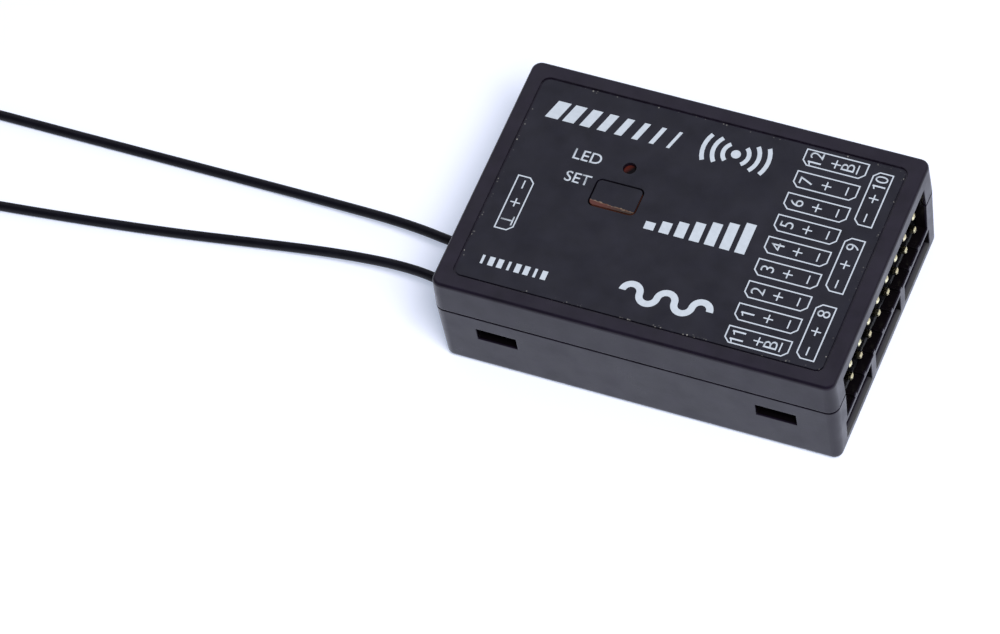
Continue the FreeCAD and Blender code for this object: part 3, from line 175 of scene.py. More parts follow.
@dataclass(frozen=True)
class Finish:
    """A plain finish: a colour that varies a little, fine grain, and edges that are rounded and worn."""

    name: str
    colour: Colour
    roughness: float
    variation: float = 0.25
    patch: float = 3.0 * MM
    spread: float = 0.08
    grain: float = 0.12 * MM
    relief: float = 0.004 * MM
    edge: float = 0.12 * MM
    worn: Colour = (0.10, 0.10, 0.11)
    wear: float = 0.35
    metallic: float = 0.0
    ior: float = 1.46
    least_roughness: float = 0.05
    shade_patch: float = 0.6
    edge_turn: Pair = (0.98, 0.80)
    wear_patch: float = 0.5 * MM
    wear_span: Pair = (0.48, 0.66)

    def material(self) -> bpy.types.Material:
        """Return the finish as a material."""
        material = bpy.data.materials.new(self.name)
        graph = Graph(material)
        rounded = graph.add("Bevel", {"Radius": self.edge}, samples=6)
        bump = graph.add("Bump", {"Strength": 1.0, "Distance": self.relief, "Height": self.height(graph),
                                  "Normal": self.leaned(graph, rounded.outputs[0])})
        surface = graph.add("BsdfPrincipled", {
            "Base Color": self.worn_colour(graph, rounded.outputs[0]), "Roughness": self.rough(graph),
            "Normal": bump.outputs[0], "Metallic": self.metallic, "IOR": self.ior})
        self.extra(graph, surface)
        graph.add("OutputMaterial", {"Surface": surface.outputs[0]})
        return material

    def leaned(self, graph: Graph, normal: bpy.types.NodeSocket) -> bpy.types.NodeSocket:
        """Return the normal of the surface; the plain finish leaves it as it is."""
        return normal

    def height(self, graph: Graph) -> bpy.types.NodeSocket:
        """Return the height of the fine grain."""
        return graph.noise(self.grain, detail=3.0)

    def rough(self, graph: Graph) -> bpy.types.NodeSocket:
        """Return the roughness, which differs a little from patch to patch."""
        low = max(self.roughness - self.spread, self.least_roughness)
        high = self.roughness + self.spread
        return graph.between(graph.noise(self.patch, detail=4.0), *NOISE_SPAN, low, high)

    def shade(self, graph: Graph) -> bpy.types.NodeSocket:
        """Return the colour, which differs a little from patch to patch."""
        deep = tuple(channel * (1.0 - self.variation) for channel in self.colour)
        light = tuple(min(channel * (1.0 + self.variation), 1.0) for channel in self.colour)
        share = graph.between(graph.noise(self.patch * self.shade_patch, detail=3.0), *NOISE_SPAN)
        return graph.blend(share, deep, light)

    def worn_colour(self, graph: Graph, rounded: bpy.types.NodeSocket) -> bpy.types.NodeSocket:
        """Return the colour with its worn edges.

        Args:
            graph: The material's nodes.
            rounded: The normal that is rounded at the edges.

        Returns:
            The colour's socket.
        """
        flat = graph.add("NewGeometry").outputs["True Normal"]
        turned = graph.add("VectorMath", {0: flat, 1: rounded}, operation="DOT_PRODUCT").outputs["Value"]
        near_edge = graph.between(turned, *self.edge_turn)
        patches = graph.noise(self.wear_patch, detail=4.0)
        broken = graph.between(patches, *self.wear_span, 0.0, self.wear)
        return graph.blend(graph.math("MULTIPLY", near_edge, broken), self.shade(graph), self.worn)

    def extra(self, graph: Graph, surface: bpy.types.Node) -> None:
        """Add what only this finish has; the plain one has nothing more."""


@dataclass(frozen=True)
class MouldedShell(Finish):
    """Spark-eroded black plastic of the case, with faint marks of handling, well rounded sills, painted shade
    inside the case and painted light on the sills.
    """

    sill_start: float = 22.35 * MM
    sill_end: float = 23.15 * MM
    sill_side: float = 13.2 * MM
    sill_level: float = 1.6 * MM
    sill_depth: float = 0.3 * MM
    sill_lean: float = 2.0
    # Painted light on the lower windows' sills, paler toward their outer edge
    sill_painted_light: Colour = (0.095, 0.095, 0.100)
    inner_half: Vector = field(default_factory=lambda: Vector((22.95, 15.4, 12.6)) * MM)
    corner_sum: float = 37.4 * MM
    # Painted shade inside the case and its windows
    inside_painted_shade: Colour = (0.003, 0.0022, 0.003)
    inner_ior: float = 1.2
    scratch_size: float = 0.5 * MM
    scratch_stretch: Triple = (0.12, 2.2, 0.6)
    scratch_span: Pair = (0.66, 0.72)
    scratch_depth: float = 0.5

    def leaned(self, graph: Graph, normal: bpy.types.NodeSocket) -> bpy.types.NodeSocket:
        """Return the normal, which leans outward more and more over the sills of the lower windows."""
        lean = graph.math("MULTIPLY", self.over_sill(graph), self.sill_lean)
        outside = graph.add("VectorTransform", {"Vector": (1.0, 0.0, 0.0)}, vector_type="NORMAL",
                            convert_from="OBJECT", convert_to="WORLD").outputs[0]
        push = graph.add("VectorMath", {0: outside, "Scale": lean}, operation="SCALE").outputs[0]
        leaning = graph.add("VectorMath", {0: normal, 1: push}, operation="ADD").outputs[0]
        return graph.add("VectorMath", {0: leaning}, operation="NORMALIZE").outputs[0]

    def over_sill(self, graph: Graph) -> bpy.types.NodeSocket:
        """Return how far out a place lies on a lower window's sill, from 0 to 1, and 0 elsewhere."""
        outward, along, upward = graph.axes()
        upper = graph.math("MULTIPLY", graph.math("LESS_THAN", upward, self.sill_level),
                           graph.math("GREATER_THAN", upward, self.sill_level - self.sill_depth))
        between = graph.math("LESS_THAN", graph.math("ABSOLUTE", along), self.sill_side)
        share = graph.between(outward, self.sill_start, self.sill_end)
        return graph.math("MULTIPLY", graph.math("MULTIPLY", upper, between), share)

    def inside(self, graph: Graph) -> bpy.types.NodeSocket:
        """Return 1 in the windows and behind them, where shade is painted, and 0 on the outer faces."""
        outward, along, upward = graph.axes()
        far_out = graph.math("ABSOLUTE", outward)
        far_along = graph.math("ABSOLUTE", along)
        within = graph.math("MULTIPLY", graph.math("LESS_THAN", far_out, self.inner_half.x),
                            graph.math("LESS_THAN", far_along, self.inner_half.y))
        off_corner = graph.math("LESS_THAN", graph.math("ADD", far_out, far_along), self.corner_sum)
        height = graph.math("MULTIPLY", graph.math("GREATER_THAN", upward, self.sill_level),
                            graph.math("LESS_THAN", upward, self.inner_half.z))
        return graph.math("MULTIPLY", graph.math("MULTIPLY", within, off_corner), height)

    def shade(self, graph: Graph) -> bpy.types.NodeSocket:
        """Return the plastic's colour, with painted shade inside the case and painted light on the lower
        windows' sills.
        """
        # Painted shade inside, then painted light on the sills
        plastic = graph.blend(self.inside(graph), super().shade(graph), self.inside_painted_shade)
        return graph.blend(self.over_sill(graph), plastic, self.sill_painted_light)

    def extra(self, graph: Graph, surface: bpy.types.Node) -> None:
        """Take most of the gloss off the inside, which deepens the painted shade there."""
        gloss = graph.between(self.inside(graph), 0.0, 1.0, self.ior, self.inner_ior)
        graph.tree.links.new(gloss, surface.inputs["IOR"])

    def height(self, graph: Graph) -> bpy.types.NodeSocket:
        """Return the grain of the mould with a few long, faint scratches over it."""
        grain = graph.noise(self.grain, detail=4.0)
        scratches = graph.noise(self.scratch_size, stretch=self.scratch_stretch)
        marks = graph.between(scratches, *self.scratch_span, 0.0, -self.scratch_depth)
        return graph.math("ADD", grain, marks)


@dataclass(frozen=True)
class FoilFinish(Finish):
    """The printed foil: satin black, with light specks of dust caught along its border."""

    half_length: float = 21.1 * MM
    half_width: float = 13.6 * MM
    border: float = 0.35 * MM
    speck: float = 0.35 * MM
    speck_span: Pair = (0.34, 0.16)
    rare_patch: float = 1.1 * MM
    rare_span: Pair = (0.52, 0.60)
    dust: Colour = (0.34, 0.33, 0.31)

    def shade(self, graph: Graph) -> bpy.types.NodeSocket:
        """Return the foil's colour with the dust."""
        across, along, _ = graph.axes()
        from_end = graph.math("SUBTRACT", self.half_length, graph.math("ABSOLUTE", across))
        from_side = graph.math("SUBTRACT", self.half_width, graph.math("ABSOLUTE", along))
        margin = graph.between(graph.math("MINIMUM", from_end, from_side), self.border, 0.0)
        dots = graph.add("TexVoronoi", {"Vector": graph.coordinates(), "Scale": 1.0 / self.speck})
        here = graph.between(dots.outputs["Distance"], *self.speck_span)
        rare = graph.between(graph.noise(self.rare_patch), *self.rare_span)
        share = graph.math("MULTIPLY", graph.math("MULTIPLY", margin, here), rare)
        return graph.blend(share, super().shade(graph), self.dust)


@dataclass(frozen=True)
class ButtonFoilFinish(Finish):
    """The piece of foil on the button, too short at the front, where the button's own plastic shows."""

    middle: Vector = field(default_factory=Vector)
    foil_front: float = -1.19 * MM
    slope: float = 0.07
    ragged_patch: float = 0.4 * MM
    ragged_span: Pair = (0.2, 0.8)
    raggedness: float = 0.14 * MM
    cut_width: float = 0.05 * MM
    # Where the pale band along the cut lies, in from the foil's front; it is partly a painted highlight
    torn_sheen: Pair = (0.14 * MM, 0.02 * MM)
    crumb_patch: float = 0.3 * MM
    crumb_span: Pair = (0.44, 0.62)
    fading: Pair = (-1.1 * MM, 1.0 * MM)
    plastic: Colour = (0.085, 0.024, 0.016)
    plastic_right: Colour = (0.034, 0.019, 0.012)
    # A pale band along the foil's cut: partly torn foil and crumbs, partly a painted highlight
    raw_edge_sheen: Colour = (0.17, 0.085, 0.045)
    crumbs: Colour = (0.30, 0.24, 0.18)

    def shade(self, graph: Graph) -> bpy.types.NodeSocket:
        """Return black foil behind and reddish plastic, darker on the right, before its ragged edge."""
        across, along, _ = graph.axes()
        rightward = graph.math("SUBTRACT", across, self.middle.x)
        ragged = graph.between(graph.noise(self.ragged_patch, detail=3.0), *self.ragged_span,
                               -self.raggedness, self.raggedness)
        slanting = graph.math("MULTIPLY_ADD", rightward, self.slope, ragged)
        here = graph.math("ADD", graph.math("SUBTRACT", along, self.middle.y), slanting)
        bare = graph.between(here, self.foil_front, self.foil_front - self.cut_width)
        near_cut = graph.between(here, *(self.foil_front - edge for edge in self.torn_sheen))
        patchy = graph.between(graph.noise(self.crumb_patch, detail=3.0), *self.crumb_span)
        plastic = graph.blend(graph.between(rightward, *self.fading), self.plastic, self.plastic_right)
        # Torn foil and crumbs with a painted highlight along the cut
        torn_sheen = graph.blend(patchy, self.raw_edge_sheen, self.crumbs)
        return graph.blend(bare, super().shade(graph), graph.blend(near_cut, plastic, torn_sheen))


@dataclass(frozen=True)
class PinPlating(Finish):
    """Gold plating, bright at the tips, darkened by painted shade behind them."""

    tip: float = 22.35 * MM
    # Painted shade on the pins behind their tips: where it starts and where it is full
    shade_fade: Pair = (0.25 * MM, 0.75 * MM)
    painted_shade_gold: Colour = (0.07, 0.05, 0.022)

    def shade(self, graph: Graph) -> bpy.types.NodeSocket:
        """Return gold at the tips, darkened by painted shade behind them."""
        reach = graph.math("ABSOLUTE", graph.axes()[0])
        behind = graph.between(reach, *(self.tip - depth for depth in self.shade_fade))
        return graph.blend(behind, super().shade(graph), self.painted_shade_gold)


@dataclass(frozen=True)
class Laminate(Finish):
    """A circuit board: solder resist over tracks that show through as lighter bands."""

    track: Colour = (0.010, 0.010, 0.012)
    track_scale: float = 260.0
    track_width: float = 0.03

    def shade(self, graph: Graph) -> bpy.types.NodeSocket:
        """Return the resist's colour with the tracks under it."""
        bands = graph.add("TexBrick", {"Vector": graph.coordinates(), "Scale": self.track_scale,
                                       "Mortar Size": self.track_width, "Color1": (0.0, 0.0, 0.0, 1.0),
                                       "Color2": (0.0, 0.0, 0.0, 1.0), "Mortar": (1.0, 1.0, 1.0, 1.0)})
        return graph.blend(bands.outputs["Color"], super().shade(graph), self.track)


@dataclass(frozen=True)
class ClearPipe(Finish):
    """Reddish clear plastic that carries the lamp's light, with a painted shadow of the hole's rim over its
    front right.
    """

    middle: Vector = field(default_factory=Vector)
    reach: float = 0.75 * MM
    away_front: float = 0.55
    away_right: float = 0.84
    shadow: Pair = (-0.65, 0.10)
    clearness: float = 0.25
    # Painted shadow of the hole's rim
    painted_shadow: Colour = (0.004, 0.003, 0.004)

    def shade(self, graph: Graph) -> bpy.types.NodeSocket:
        """Return red at the back on the left, fading to a near black painted shadow at the front on the
        right.
        """
        across, along, _ = graph.axes()
        rightward = graph.math("SUBTRACT", across, self.middle.x)
        frontward = graph.math("SUBTRACT", self.middle.y, along)
        away = graph.math("MULTIPLY_ADD", frontward, self.away_front,
                          graph.math("MULTIPLY", rightward, self.away_right))
        shaded = graph.between(away, *(self.reach * share for share in self.shadow))
        return graph.blend(shaded, super().shade(graph), self.painted_shadow)

    def extra(self, graph: Graph, surface: bpy.types.Node) -> None:
        """Let some light into the plastic."""
        surface.inputs["Transmission Weight"].default_value = self.clearness


@dataclass(frozen=True)
class Ink(Finish):
    """Screen-printed ink with the faint mottle of its mesh."""

    def height(self, graph: Graph) -> bpy.types.NodeSocket:
        """Return the mottle of the print."""
        return graph.noise(self.grain, detail=1.0)


@dataclass(frozen=True)
class LeadJacket(Finish):
    """Smooth black jacket whose braid shows faintly through it."""

    braid_scale: float = 900.0
    braid_relief: float = 0.4

    def height(self, graph: Graph) -> bpy.types.NodeSocket:
        """Return the fine ripple of the braid along the lead."""
        ripple = graph.add("TexWave", {"Vector": graph.coordinates(), "Scale": self.braid_scale,
                                       "Distortion": 2.0, "Detail": 1.0})
        braid = graph.math("MULTIPLY", ripple.outputs[1], self.braid_relief)
        return graph.math("ADD", graph.noise(self.grain, detail=3.0), braid)


class Dressing:
    """Gives every CAD node that stays its finish."""

    def __init__(self) -> None:
        """Make the finishes, some from the boxes of the nodes that wear them."""
        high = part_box("label_foil")[1]
        pipe = sum(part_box("light_pipe"), Vector()) / 2.0
        cap = sum(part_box("button_foil"), Vector()) / 2.0
        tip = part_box("servo_pins_top")[1].x
        shell = MouldedShell("shell_black", (0.0065, 0.0042, 0.0105), 0.34, ior=1.405,
                             worn=(0.10, 0.10, 0.13), wear=0.15, edge=0.15 * MM)
        block = Finish("header_black", (0.0025, 0.0024, 0.0028), 0.50, wear=0.0, ior=1.25)
        plated = {"variation": 0.10, "metallic": 1.0, "spread": 0.06, "grain": 0.05 * MM,
                  "relief": 0.001 * MM, "edge": 0.06 * MM}
        gold = Finish("pin_gold", (1.0, 0.86, 0.52), 0.30, worn=(1.0, 0.92, 0.70), wear=0.5, **plated)
        plating = PinPlating("pin_plating", (1.0, 0.88, 0.56), 0.28, worn=(1.0, 0.94, 0.74), wear=0.6,
                             tip=tip, **plated)
        tin = Finish("tinned_sheet", (0.62, 0.62, 0.60), 0.30, variation=0.08, metallic=1.0,
                     worn=(0.8, 0.8, 0.78))
        chip = Finish("chip_black", (0.014, 0.014, 0.015), 0.55, grain=0.05 * MM)
        stock = {"colour": (0.0055, 0.0055, 0.0105), "roughness": 0.40, "grain": 0.08 * MM,
                 "relief": 0.0025 * MM, "edge": 0.05 * MM, "ior": 1.42}
        foil = FoilFinish("label_black", half_length=high.x, half_width=high.y, **stock)
        button = Finish("button_red_brown", (0.10, 0.030, 0.018), 0.38, worn=(0.2, 0.1, 0.06))
        button_foil = ButtonFoilFinish("button_foil_black", middle=cap, **stock)
        laminate = Laminate("board_black", (0.004, 0.004, 0.005), 0.40, ior=1.35)
        self.by_node: dict[str, Finish] = {
            "lower_shell": shell, "upper_shell": shell, "label_foil": foil, "button_cap": button,
            "button_foil": button_foil,
            "light_pipe": ClearPipe("pipe_red", (0.085, 0.016, 0.012), 0.30, wear=0.1, ior=1.15,
                                    middle=pipe),
            "servo_header_block": block, "lower_header_blocks": block, "telemetry_header_block": block,
            "servo_pins_bottom": plating, "servo_pins_middle": plating, "servo_pins_top": plating,
            "lower_header_pins": plating, "telemetry_header_pins": plating,
            "switch_housing": Finish("switch_black", (0.02, 0.02, 0.02), 0.45),
            "switch_cover": tin, "radio_shield": tin, "coax_sockets": gold, "coax_plugs": gold,
            "switch_plunger": Finish("plunger_ivory", (0.62, 0.58, 0.50), 0.45, worn=(0.7, 0.66, 0.6)),
            "main_board": laminate, "microcontroller": chip, "radio_chip": chip, "radio_amplifiers": chip,
            "voltage_regulator": chip, "crystal": tin,
            "status_lamp": Finish("lamp_clear", (0.72, 0.68, 0.60), 0.22, worn=(0.8, 0.78, 0.7), ior=1.52),
            "bulk_capacitors": Finish("tantalum_ochre", (0.60, 0.36, 0.07), 0.42, worn=(0.7, 0.5, 0.2)),
            "ceramic_capacitors": Finish("ceramic_tan", (0.42, 0.28, 0.16), 0.38, worn=(0.5, 0.4, 0.3)),
            "chip_resistors": Finish("resistor_black", (0.02, 0.02, 0.024), 0.32)}

    def dress(self) -> None:
        """Assign the finishes to the nodes' material slots."""
        made: dict[str, bpy.types.Material] = {}
        for name, finish in self.by_node.items():
            if finish.name not in made:
                made[finish.name] = finish.material()
            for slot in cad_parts[name].material_slots:
                slot.material = made[finish.name]
            LOG.info("%s has the finish %s", name, finish.name)


@dataclass
class Studio:
    """The white sweep, the soft light over it and the camera of the photograph."""

    camera_place: Vector = field(default_factory=lambda: Vector((172.655, -321.754, 531.257)) * MM)
    camera_right: Vector = field(default_factory=lambda: Vector((0.921817, 0.370174, -0.114999)))
    camera_up: Vector = field(default_factory=lambda: Vector((-0.248926, 0.792739, 0.556417)))
    sensor: float = 36.0
    lens: float = 211.594
    clip: Pair = (0.05, 20.0)
    floor_side: float = 3.0
    floor_drop: float = 0.02 * MM
    floor_colour: Colour = (0.79, 0.79, 0.90)
    floor_glow: Colour = (0.24, 0.285, 0.365)
    floor_patch: float = 0.05
    floor_mottle: float = 0.985
    ambient: float = 0.36
    ambient_colour: Colour = (0.96, 0.98, 1.0)
    horizon: Colour = (1.0, 1.0, 1.0)
    above_horizon: Colour = (0.12, 0.12, 0.16)
    overhead: Colour = (0.92, 0.92, 1.12)
    world_heights: Triple = (0.14, 0.36, 0.74)
    dim: Colour = (0.10, 0.10, 0.13)
    dim_backward: Pair = (0.32, 0.05)
    dim_height: Pair = (0.18, 0.36)
    lamp_side: float = 0.26
    lamp_power: float = 4.4
    lamp_toward: Vector = field(default_factory=lambda: Vector((0.38, -0.34, 0.86)))
    lamp_distance: float = 0.70

    def build(self) -> None:
        """Make the camera, the floor, the lamp and the world."""
        self.camera()
        self.floor()
        self.lamp()
        self.world()
        LOG.info("studio ready")

    def camera(self) -> None:
        """Put the camera where the photograph was taken from."""
        data = bpy.data.cameras.new("photo_camera")
        data.sensor_width = self.sensor
        data.lens = self.lens
        data.clip_start, data.clip_end = self.clip
        camera = bpy.data.objects.new("photo_camera", data)
        bpy.context.scene.collection.objects.link(camera)
        right = self.camera_right.normalized()
        back = right.cross(self.camera_up).normalized()
        turn = Matrix((right, back.cross(right), back)).transposed().to_4x4()
        camera.matrix_world = Matrix.Translation(self.camera_place) @ turn
        bpy.context.scene.camera = camera

    def floor(self) -> None:
        """Lay the pale floor, whose white shows to the camera and in gloss."""
        bpy.ops.object.select_all(action="DESELECT")
        bpy.ops.mesh.primitive_plane_add(size=self.floor_side, location=(0.0, 0.0, -self.floor_drop))
        floor = bpy.context.active_object
        floor.name = "studio_floor"
        material = bpy.data.materials.new("floor_white")
        graph = Graph(material)
        share = graph.between(graph.noise(self.floor_patch), *NOISE_SPAN)
        darker = tuple(channel * self.floor_mottle for channel in self.floor_colour)
        surface = graph.add("BsdfPrincipled", {
            "Base Color": graph.blend(share, self.floor_colour, darker), "Roughness": 0.9,
            "Specular IOR Level": 0.0, "Emission Color": (*self.floor_glow, 1.0),
            "Emission Strength": self.seen(graph)})
        graph.add("OutputMaterial", {"Surface": surface.outputs[0]})
        floor.data.materials.append(material)

    def seen(self, graph: Graph) -> bpy.types.NodeSocket:
        """Return 1 for rays of the camera and those in gloss or glass, and 0 for the rest."""
        path = graph.add("LightPath").outputs
        return graph.math("MAXIMUM", graph.math("MAXIMUM", path["Is Camera Ray"], path["Is Glossy Ray"]),
                          path["Is Transmission Ray"])

    def lamp(self) -> None:
        """Hang one soft lamp high up to the right and toward the front, unseen in the gloss."""
        data = bpy.data.lights.new("softbox", "AREA")
        data.shape = "SQUARE"
        data.size = self.lamp_side
        data.energy = self.lamp_power
        lamp = bpy.data.objects.new("softbox", data)
        lamp.visible_glossy = False
        bpy.context.scene.collection.objects.link(lamp)
        toward = self.lamp_toward.normalized()
        lamp.location = toward * self.lamp_distance
        lamp.rotation_mode = "QUATERNION"
        lamp.rotation_quaternion = (-toward).to_track_quat("-Z", "Y")

    def world(self) -> None:
        """Surround everything with white, which dims above the horizon and most of all over the front."""
        world = bpy.data.worlds.new("studio")
        bpy.context.scene.world = world
        graph = Graph(world)
        direction = graph.add("TexCoord").outputs["Generated"]
        _, backward, height = graph.add("SeparateXYZ", {0: direction}).outputs
        shown = graph.add("ValToRGB", {0: height})
        ramp = shown.color_ramp.elements
        low, middle, high = self.world_heights
        ramp[0].position = low
        ramp[0].color = (*self.horizon, 1.0)
        ramp[1].position = high
        ramp[1].color = (*self.overhead, 1.0)
        ramp.new(middle).color = (*self.above_horizon, 1.0)
        over_front = graph.math("MULTIPLY", graph.between(backward, *self.dim_backward),
                                graph.between(height, *self.dim_height))
        above = graph.blend(over_front, shown.outputs[0], self.dim)
        backdrop = graph.add("Background", {"Color": above, "Strength": 1.0})
        light = graph.add("Background", {"Color": (*self.ambient_colour, 1.0), "Strength": self.ambient})
        both = graph.add("MixShader", {0: self.seen(graph), 1: light.outputs[0], 2: backdrop.outputs[0]})
        graph.add("OutputWorld", {"Surface": both.outputs[0]})
        bpy.context.scene.view_settings.view_transform = "Standard"


@dataclass
class AntennaLead:
    """One thin coaxial lead: out of the case, over the floor and into its put-away coil."""

    name: str
    route: list[Triple]
    heading: float
    side: int
    replaced: tuple[str, str]
    diameter: float = 1.13 * MM
    wall_face: float = -23.08 * MM
    outer_turn: float = 6.265 * MM
    stub: float = 4.1 * MM
    turns: float = 2.2
    points_per_turn: int = 16
    steps_along: int = 12
    steps_round: int = 6
    spline_order: int = 3
    length: float = 145.0 * MM

    def points(self) -> list[Vector]:
        """Return the route's points and then those of the coil's turns."""
        points = [Vector(point) * MM for point in self.route]
        turn = math.radians(self.heading)
        ahead = Vector((-math.cos(turn), -math.sin(turn), 0.0))
        inward = Vector((ahead.y, -ahead.x, 0.0)) * self.side
        middle = points[-1] + ahead * self.stub + inward * self.outer_turn
        step = 2.0 * math.pi / self.points_per_turn
        outset = 1.0 / math.cos(step / 2.0)
        for index in range(round(self.turns * self.points_per_turn) + 1):
            angle = index * step
            radius = (self.outer_turn - self.diameter * angle / (2.0 * math.pi)) * outset
            points.append(middle - inward * (radius * math.cos(angle)) + ahead * (radius * math.sin(angle)))
        return points

    def build(self, material: bpy.types.Material) -> bpy.types.Object:
        """Return the lead as one open curve.

        Args:
            material: The finish of the jacket.

        Returns:
            The lead.
        """
        data = bpy.data.curves.new(self.name, "CURVE")
        data.dimensions = "3D"
        data.resolution_u = self.steps_along
        data.bevel_depth = self.diameter / 2.0
        data.bevel_resolution = self.steps_round
        data.use_fill_caps = True
        spline = data.splines.new("NURBS")
        points = self.points()
        spline.points.add(len(points) - 1)
        for point, place in zip(spline.points, points):
            point.co = (*place, 1.0)
        spline.order_u = self.spline_order
        spline.use_endpoint_u = True
        data.materials.append(material)
        lead = bpy.data.objects.new(self.name, data)
        bpy.context.scene.collection.objects.link(lead)
        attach(lead, CASE)
        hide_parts(*self.replaced)
        LOG.info("%s follows %d points", self.name, len(points))
        return lead


class Reading(Enum):
    """Which way a mark on the label reads, as the turn of its baseline."""

    ACROSS = 0.0
    TO_BACK = math.pi / 2.0
    TO_FRONT = -math.pi / 2.0


class CutSide(Enum):
    """The side of a printed frame whose two corners are cut off."""

    FRONT = (0.0, -1.0)
    LEFT = (-1.0, 0.0)
    RIGHT = (1.0, 0.0)


class Bench:
    """Modelling tools that work as by hand: primitives, edit mode, and transforms that are applied."""

    weld: float = 0.001 * MM

    @staticmethod
    def alone(piece: bpy.types.Object) -> None:
        """Select one piece only and make it the active one."""
        bpy.ops.object.select_all(action="DESELECT")
        piece.select_set(True)
        bpy.context.view_layer.objects.active = piece

    @classmethod
    @contextmanager
    def editing(cls, piece: bpy.types.Object) -> Iterator[None]:
        """Hold one piece in edit mode, with nothing in it selected at first."""
        cls.alone(piece)
        bpy.ops.object.mode_set(mode="EDIT")
        bpy.ops.mesh.select_all(action="DESELECT")
        yield
        bpy.ops.object.mode_set(mode="OBJECT")

    @staticmethod
    def pick(piece: bpy.types.Object, test: Callable[[Vector], bool]) -> None:
        """Select the vertices of a piece in edit mode whose places pass a test.

        Args:
            piece: The piece in edit mode.
            test: Says of a place whether it counts.
        """
        bpy.ops.mesh.select_mode(type="VERT")
        shape = bmesh.from_edit_mesh(piece.data)
        for vertex in shape.verts:
            vertex.select = test(vertex.co)
        shape.select_flush_mode()
        bmesh.update_edit_mesh(piece.data)

    @classmethod
    def settle(cls, piece: bpy.types.Object) -> None:
        """Move a piece's place, turn and scale into its mesh."""
        cls.alone(piece)
        bpy.ops.object.transform_apply(location=True, rotation=True, scale=True)

    @classmethod
    def plate(cls, name: str, length: float, width: float) -> bpy.types.Object:
        """Return a flat rectangle about the origin.

        Args:
            name: The piece's name.
            length: Its size along X.
            width: Its size along Y.

        Returns:
            The new piece.
        """
        bpy.ops.object.select_all(action="DESELECT")
        bpy.ops.mesh.primitive_plane_add(size=1.0)
        piece = bpy.context.active_object
        piece.name = name
        piece.scale = (length, width, 1.0)
        cls.settle(piece)
        return piece

    @classmethod
    def raised(cls, piece: bpy.types.Object, place: Vector, height: float,
               turn: float = 0.0) -> bpy.types.Object:
        """Give a flat piece its thickness and put it in its place.

        Args:
            piece: A flat piece about the origin.
            place: Where its middle goes.
            height: Its thickness.
            turn: Its turn about Z.

        Returns:
            The same piece.
        """
        with cls.editing(piece):
            bpy.ops.mesh.select_all(action="SELECT")
            bpy.ops.mesh.remove_doubles(threshold=cls.weld)
            bpy.ops.mesh.extrude_region_move(TRANSFORM_OT_translate={"value": (0.0, 0.0, height)})
            bpy.ops.mesh.select_all(action="SELECT")
            bpy.ops.mesh.normals_make_consistent(inside=False)
        piece.rotation_euler = (0.0, 0.0, turn)
        piece.location = place
        cls.settle(piece)
        return piece

    @classmethod
    def joined(cls, name: str, pieces: list[bpy.types.Object]) -> bpy.types.Object:
        """Join pieces into one.

        Args:
            name: The name of the joined piece.
            pieces: What is joined.

        Returns:
            The joined piece.
        """
        cls.alone(pieces[0])
        for piece in pieces:
            piece.select_set(True)
        if len(pieces) > 1:
            bpy.ops.object.join()
        joined = bpy.context.view_layer.objects.active
        joined.name = name
        joined.data.name = name
        return joined


